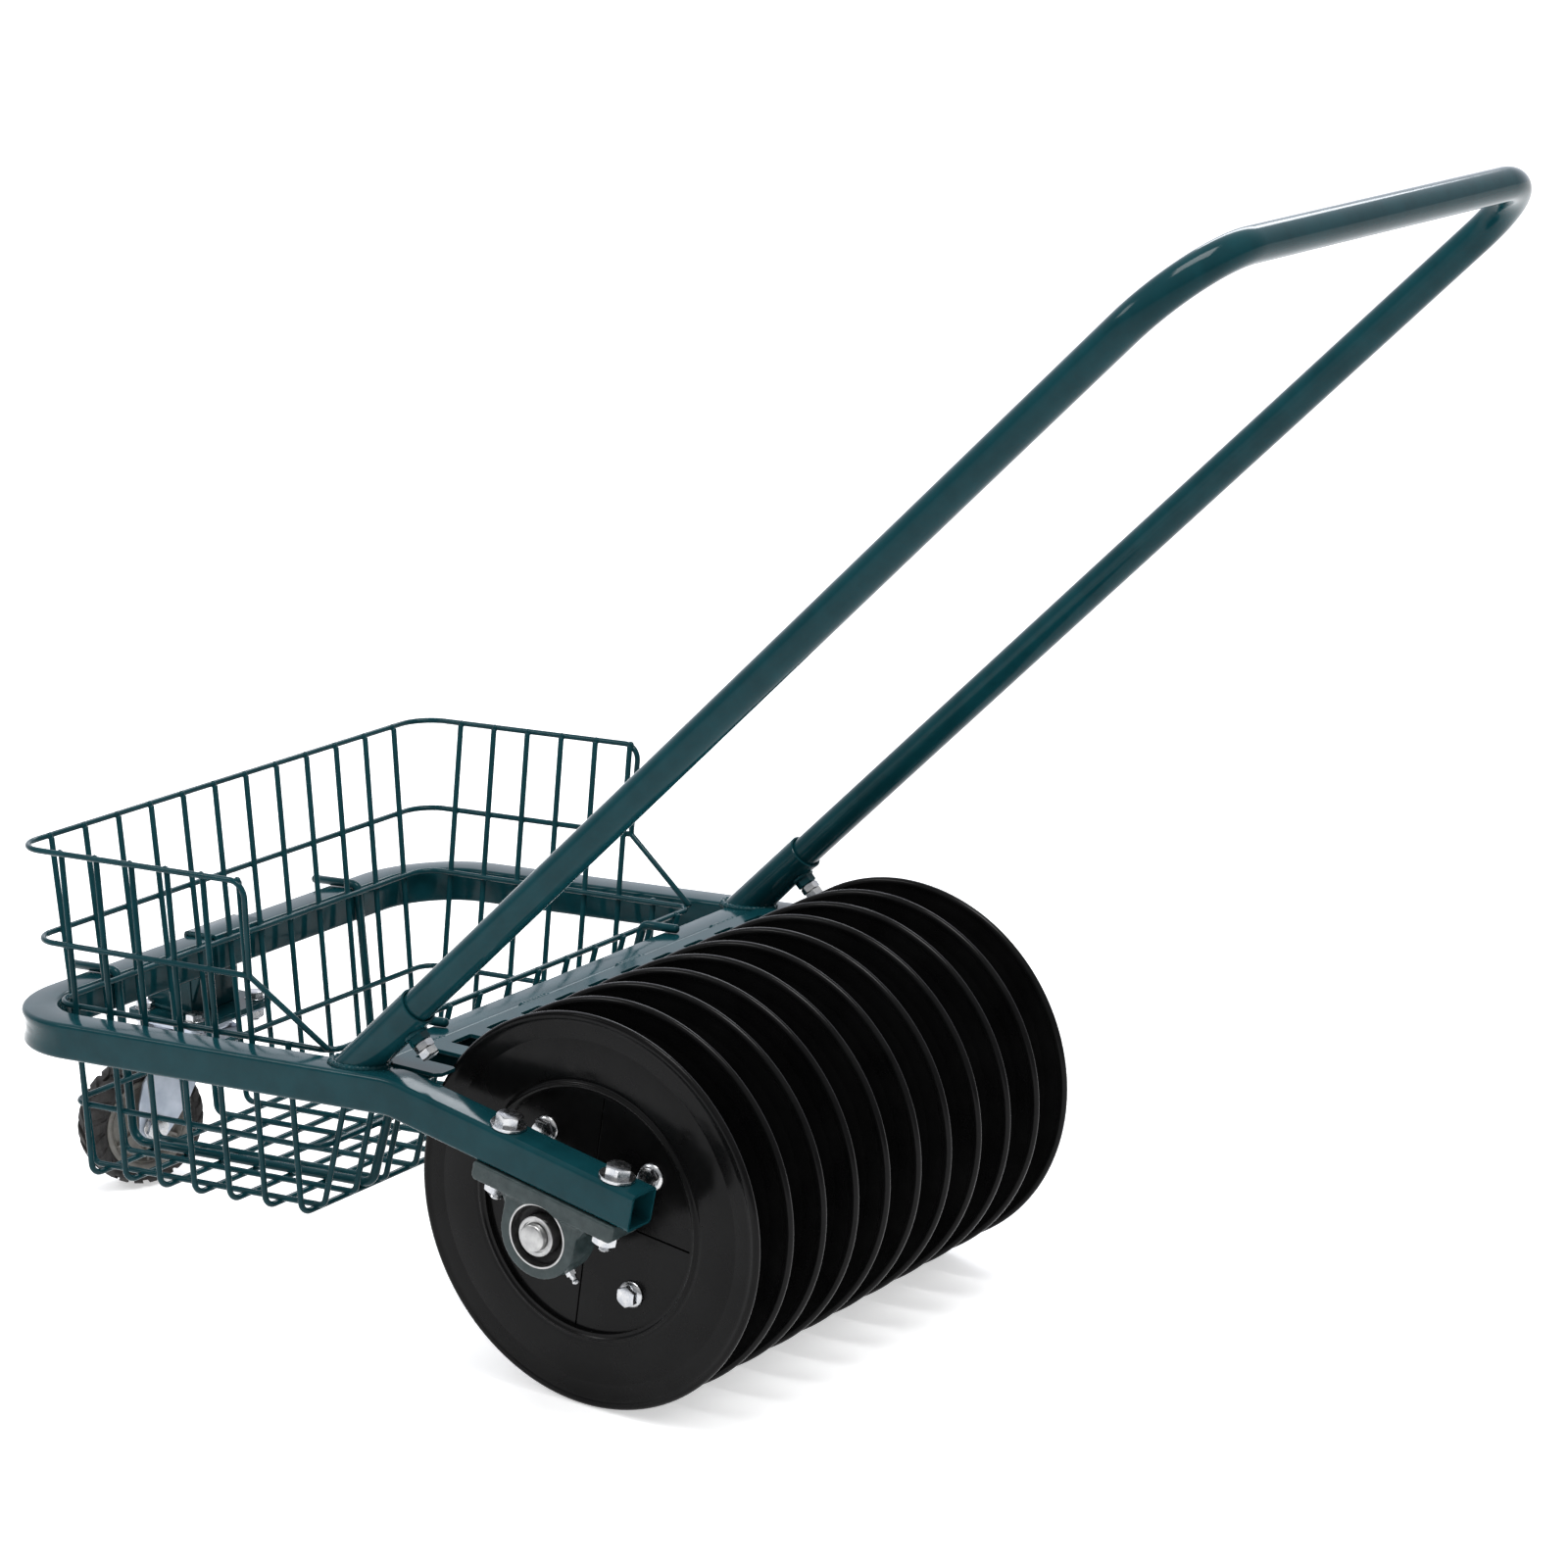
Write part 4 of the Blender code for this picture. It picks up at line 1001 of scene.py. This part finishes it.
def fork_side():
    """The outline of a fork leg, in the trail's direction and up."""
    top = [(-24.0, 104.0), (-24.0, 122.3), (30.0, 122.3)]
    brow = [(34.0 + 12.0 * sin(t), 122.3 - 10.0 * (1 - cos(t))) for t in (0.2, 0.6, 1.0, 1.4)]
    back = [(58.0, 100.0), (66.0, 90.0), (70.0, 72.0), (70.0, 56.0)]
    foot = [(56.0 + 14.0 * cos(t), TYRE_R + 14.0 * sin(t)) for t in np.linspace(0.1, -2.5, 12)]
    front = [(34.0, 56.0), (24.0, 70.0), (14.0, 90.0), (0.0, 100.0)]
    return top + brow + back + foot + front


def caster_fork():
    """The fork's two legs and crown, and the axle bolt with its nut."""
    side = fork_side()
    crown = [(-24.0, -21.4), (-22.4, -23.0), (30.0, -23.0), (34.0, -20.0)]
    crown += [(u, -v) for u, v in crown[::-1]]
    dish = [(6.6, 118.4), (17.0, 118.4), (19.0, 119.6), (6.6, 119.6)]
    shells = [slab(KING, TRAIL_DIR, Z, WHEEL_AXIS, side, s * 20.4, s * 23.0) for s in (1, -1)]
    shells.append(slab(KING, TRAIL_DIR, WHEEL_AXIS, Z, crown, 119.3, 122.3))
    shells.append(turned(KING, Z, dish, 48))
    piece("caster_fork_look", shells, SHEET, "caster_fork", bevel=0.7)
    shells = [
        hex_head(HUB, WHEEL_AXIS, 17.0, 24.0, 29.6, ref=Z + 0.3 * X),
        washer(HUB, WHEEL_AXIS, 5.2, 10.5, 23.1, 24.4),
        rod(HUB, WHEEL_AXIS, [(5.0, -31.0), (5.0, 25.0)], 24),
        threaded(HUB, -WHEEL_AXIS, 5.0, 30.6, 34.0),
    ]
    piece("caster_axle_bolt_look", shells, ZINC, "caster_axle_bolt")
    shells = [
        hex_head(HUB, -WHEEL_AXIS, 17.0, 24.0, 31.3, ref=Z, both=True),
        washer(HUB, -WHEEL_AXIS, 5.2, 10.5, 23.1, 24.3),
    ]
    piece("caster_axle_nut_look", shells, ZINC, "caster_axle_nut")


RIBS = 6


def caster_rim():
    """The pale rim with its dark groove, dished web and hub."""
    side = [(5.4, 19.6), (10.6, 19.6), (12.0, 18.6), (12.6, 14.0), (13.4, 8.6), (15.0, 7.0)]
    side += [(22.0, 6.4), (29.0, 7.2), (30.6, 8.6), (31.4, 11.4), (32.2, 12.2), (32.6, 11.6), (33.0, 11.6)]
    side += [(33.4, 12.8), (34.4, 13.8), (37.2, 14.6), (38.4, 14.2)]
    shells = [turned(HUB, WHEEL_AXIS, two_sided(side), 96, ref=Z)]
    rib = [(12.0, -10.0), (31.4, -11.0), (31.4, 11.0), (12.0, 10.0)]
    e1, e2, e3 = basis(WHEEL_AXIS, Z)
    for i in range(RIBS):
        a = 2 * pi * i / RIBS
        out = cos(a) * e1 + sin(a) * e2
        across = cos(a) * e2 - sin(a) * e1
        shells.append(slab(HUB, out, e3, across, rib, -1.1, 1.1))
    piece("caster_rim_look", shells, PALE, "caster_rim", bevel=0.25)


LUGS = 22
LUG_SHARE = 0.60  # of the pitch between two lugs
LUG_SLANT = 0.05


def caster_tyre():
    """A rounded tread with two rows of chunky lugs, staggered across the middle."""
    side = [(38.6, 13.6), (40.4, 15.6), (43.4, 16.6), (46.0, 15.4), (47.9, 11.4), (48.6, 6.0)]
    profile = side + [(48.8, 0.0)] + [(r, -h) for r, h in side[::-1]]
    shells = [turned(HUB, WHEEL_AXIS, profile, 96, ref=Z)]
    e1, e2, e3 = basis(WHEEL_AXIS, Z)
    crown = [(41.6, 17.0), (44.6, 18.0), (47.4, 17.2), (49.4, 14.4), (50.8, 9.4), (51.4, 4.4), (TYRE_R, 0.8)]
    root = [(40.4, 13.0), (42.6, 13.4), (44.4, 12.6), (46.0, 10.6), (47.0, 7.6), (47.4, 4.0), (47.5, 0.8)]
    for i in range(LUGS):
        for s in (1, -1):
            middle = 2 * pi * (i + (0.25 if s > 0 else 0.75)) / LUGS
            rings = []
            for k, (top, low) in enumerate(zip(crown, root)):
                half = LUG_SHARE * pi / LUGS * (1.0 if k < 4 else 1.0 - 0.09 * (k - 3))
                first, last = middle - half + LUG_SLANT * (k - 3), middle + half + LUG_SLANT * (k - 3)
                ring = []
                for (r, h), a in ((top, first), (top, last), (low, last), (low, first)):
                    ring.append(HUB + r * (cos(a) * e1 + sin(a) * e2) + s * h * e3)
                rings.append(ring)
            shells.append(skin(rings))
    piece("caster_tyre_look", shells, RUBBER, "caster_tyre", bevel=0.45)


# ---- basket
WIRE_R = 2.3
RAIL_R = 2.25
LAP = 2.8  # between the centres of two wires welded across each other
FRONT_TOP = 330.6
REAR_TOP = 226.2
HANGER_X = 146.5
HANGER_DROP = 5.95
RAIL_SLOPE = 0.06
CROSS_Y = [-461.5 + 34.3 * k for k in range(7)]
LONG_SHARES = [(2 * j - 11) / 11.0 for j in range(12)]
RAILS = (  # height at Y = -365, half width, front Y, rear Y and front corner radius
    (339.7, 244.3, -506.8, None, 26.0),
    (266.8, 237.2, -498.8, None, 24.0),
    (215.9, 225.7, -487.3, -216.2, 20.0),
    (136.0, 217.3, -478.1, -237.2, 15.0),
)
BASKET_NODES = ("basket_front", "basket_side_l", "basket_side_r", "basket_rear", "basket_floor")


def rail_z(height, y):
    return height + RAIL_SLOPE * (y + 365.0)


def side_x(z, y):
    return 241.5 - 0.105 * (339.7 - z + RAIL_SLOPE * (y + 365.0))


def front_y(z):
    return -504.0 + 0.1135 * (331.2 - z)


def rear_y(z):
    return -213.4 - 0.2595 * (224.8 - z)


def under_z(y):
    return 72.3 + 0.0745 * (y + 463.0)


def floor_z(y):
    return under_z(y) + LAP


def long_x(share, z):
    return share * (206.0 - 9.0 * (331.0 - z) / 256.0)


def rail_point(height, x, y):
    return vec(x, y, rail_z(height, y))


def basket_rails():
    """Four rails: the open rim and mid rail, and two closed rails lower down."""
    height, half, front, rear, radius = RAILS[0]
    side = [rail_point(height, half, front), rail_point(height, half, -283.2)]
    side.append(rail_point(RAILS[1][0], RAILS[1][1], -284.4))
    side.append(vec(227.0, -218.6, rail_z(RAILS[2][0], RAILS[2][3]) + 0.8))
    rim = rounded(mirrored(side)[::-1] + side, [3.4, 12.0, radius, radius, 12.0, 3.4], 10)
    height, half, front, rear, radius = RAILS[1]
    side = [rail_point(height, half, front), rail_point(height, half, -283.6)]
    mid = rounded(mirrored(side)[::-1] + side, [radius, radius], 10)
    shells = [wire(rim, RAIL_R), wire(mid, RAIL_R)]
    for height, half, front, rear, radius in RAILS[2:]:
        side = [rail_point(height, half, rear), rail_point(height, half, front)]
        joint = [rail_point(height, 0.0, rear)]
        loop = rounded(joint + side + mirrored(side)[::-1] + joint, [13.0, radius, radius, 13.0], 10)
        shells.append(sweep(loop[:-1], circle(RAIL_R, 14), closed=True))
    piece("basket_rails", shells, TEAL, *BASKET_NODES, sharp=60)


def basket_long_wires():
    """Twelve wires: down the front, along the floor and up the rear."""
    corners = [(front_y, FRONT_TOP), (front_y, floor_z(-468.0))]
    corners += [(rear_y, floor_z(-249.0)), (rear_y, REAR_TOP)]
    shells = []
    for share in LONG_SHARES:
        path = [vec(long_x(share, z), y_at(z), z) for y_at, z in corners]
        shells.append(wire(rounded(path, [7.0, 7.0], 8), WIRE_R))
    piece("basket_long_wires", shells, TEAL, *BASKET_NODES, sharp=60)


def basket_cross_wires():
    """Seven wires: down one side, under the floor and up the other side."""
    shells = []
    for y in CROSS_Y:
        top = rail_z(RAILS[2][0], y) + 2.6 if y == CROSS_Y[-1] else rail_z(RAILS[0][0], y) - 0.4
        low = under_z(y)
        side = [vec(side_x(low, y), y, low), vec(side_x(top, y), y, top)]
        path = rounded(mirrored(side)[::-1] + side, [11.0, 11.0], 8)
        shells.append(wire(path, WIRE_R))
    piece("basket_cross_wires", shells, TEAL, *BASKET_NODES, sharp=60)


def basket_welds():
    """The small fused swell at each crossing of two wires."""
    spots = []
    for height, half, front, rear, radius in RAILS:
        is_open = rear is None  # the upper rails stop short of the last cross wire
        for share in LONG_SHARES:
            for y, y_at in ((front, front_y), (rear, rear_y))[:1 if is_open else 2]:
                z = rail_z(height, y)
                spots.append(blob(vec(long_x(share, z), (y_at(z) + y) / 2, z), vec(2.9, 2.4, 2.9)))
        for y in CROSS_Y[:-1] if is_open else CROSS_Y:
            z = rail_z(height, y)
            for s in (1, -1):
                spots.append(blob(vec(s * (side_x(z, y) + half) / 2, y, z), vec(2.4, 2.9, 2.9)))
    for share in LONG_SHARES:
        for y in CROSS_Y:
            z = under_z(y) + LAP / 2
            spots.append(blob(vec(long_x(share, z), y, z), vec(2.9, 2.9, 2.2)))
    piece("basket_welds", spots, TEAL, *BASKET_NODES, sharp=60)


def hanger_rods():
    """Two rods under the basket, whose ends hook over the front tube and crossbar."""
    side = [(-541.0, top_z(-541.0) + 3.9), (-493.15, top_z(-493.15) + 4.0), (-493.15, 200.0)]
    side += [(y, under_z(y) + HANGER_DROP) for y in (-479.4, -243.5)]
    side += [(-209.3, 224.0), (-206.6, top_z(-206.6) + 4.0), (-174.0, top_z(-174.0) + 3.9)]
    for x, tag in ((HANGER_X, "l"), (-HANGER_X, "r")):
        path = rounded([vec(x, y, z) for y, z in side], [6.5, 60.0, 13.0, 13.0, 60.0, 7.0], 8)
        shell = wire(path, 3.5, sides=20)
        piece("hanger_rod_look_" + tag, [shell], TEAL, "hanger_rod_" + tag, sharp=60)


# ---- build
frame_tube()
crossbar()
comb_plate()
handle()
discs()
drum()
shaft()
tie_rods()
for side, tag in ((1, "l"), (-1, "r")):
    bearing = AXLE + X * side * ARM_X
    socket(side, tag)
    housing(bearing, tag)
    bearing_inside(bearing, tag)
    bearing_bolts(bearing, tag)
caster_bracket()
caster_top()
caster_fork()
caster_rim()
caster_tyre()
basket_rails()
basket_long_wires()
basket_cross_wires()
basket_welds()
hanger_rods()


# ---- floor, light, camera
FAR_SIDE = (-0.82, -0.57, 0.0)
HORIZON = (0.30, 0.31, 0.33)
CEILING = (1.0, 1.0, 1.0)
BACKDROP = (1.45, 1.48, 1.62, 1.0)
CAMERA_PLACE = vec(2672.4, 1788.9, 1294.8)
CAMERA_TURN = (74.675, -1.230, 123.845)  # degrees
CAMERA_LENS = 105.55


def pale_floor():
    material = surface("pale_floor", (0.86, 0.86, 0.865), 0.7, specular=0.1)
    shader_of(material).inputs["Emission Color"].default_value = (1.0, 1.0, 1.0, 1.0)
    shader_of(material).inputs["Emission Strength"].default_value = 0.5
    bpy.ops.mesh.primitive_plane_add(size=80.0, location=(0, 0, -0.0006))
    floor = bpy.context.object
    floor.name = "floor"
    floor.data.materials.append(material)


def softbox(name, place, target, size, power, colour=(1.0, 1.0, 1.0)):
    """A rectangular light at a place, in metres, that faces its target."""
    light = bpy.data.lights.new(name, "AREA")
    light.shape = "RECTANGLE"
    light.size, light.size_y = size
    light.energy = power
    light.color = colour
    obj = placed(name, light)
    obj.location = place
    aim = unit(vec(*place) - vec(*target))
    obj.rotation_euler = (acos(aim[2]), 0.0, atan2(aim[0], -aim[1]))


def studio():
    """A backdrop that is dim low down and bright on the far side, and three softboxes."""
    world = bpy.data.worlds.new("studio")
    world.use_nodes = True
    background = world.node_tree.nodes["Background"]
    place = add_node(world, "TexCoord").outputs["Generated"]
    split = add_node(world, "SeparateXYZ")
    link(world, place, split.inputs["Vector"])
    facing = add_node(world, "VectorMath", operation="DOT_PRODUCT")
    facing.inputs[1].default_value = FAR_SIDE
    link(world, place, facing.inputs[0])
    blend = add_node(world, "MixRGB", Color2=BACKDROP)
    link(world, spread(world, facing.outputs["Value"], 0.25, 0.85), blend.inputs["Fac"])
    around = shaded(world, split.outputs["Z"], (0.0, 0.75), (HORIZON, CEILING))
    link(world, around, blend.inputs["Color1"])
    link(world, blend.outputs["Color"], background.inputs["Color"])
    background.inputs["Strength"].default_value = 0.85
    bpy.context.scene.world = world
    softbox("overhead", (0.6, 0.5, 3.0), (0, 0, 0.3), (1.5, 1.0), 70.0)
    softbox("left_fill", (2.2, -2.6, 2.6), (0, -0.2, 0.3), (1.2, 0.9), 32.0)
    softbox("back_rim", (-2.6, -1.0, 2.4), (0, 0.1, 0.4), (1.8, 0.8), 32.0, (0.95, 0.96, 1.0))


def camera():
    data = bpy.data.cameras.new("camera")
    data.sensor_width = 36.0
    data.lens = CAMERA_LENS
    data.clip_start = 0.1
    data.clip_end = 120.0
    obj = placed("camera", data)
    obj.location = in_metres(CAMERA_PLACE)
    obj.rotation_euler = [radians(turn) for turn in CAMERA_TURN]
    bpy.context.scene.camera = obj


pale_floor()
studio()
camera()
bpy.context.scene.view_settings.view_transform = "Standard"

bpy.context.view_layer.update()
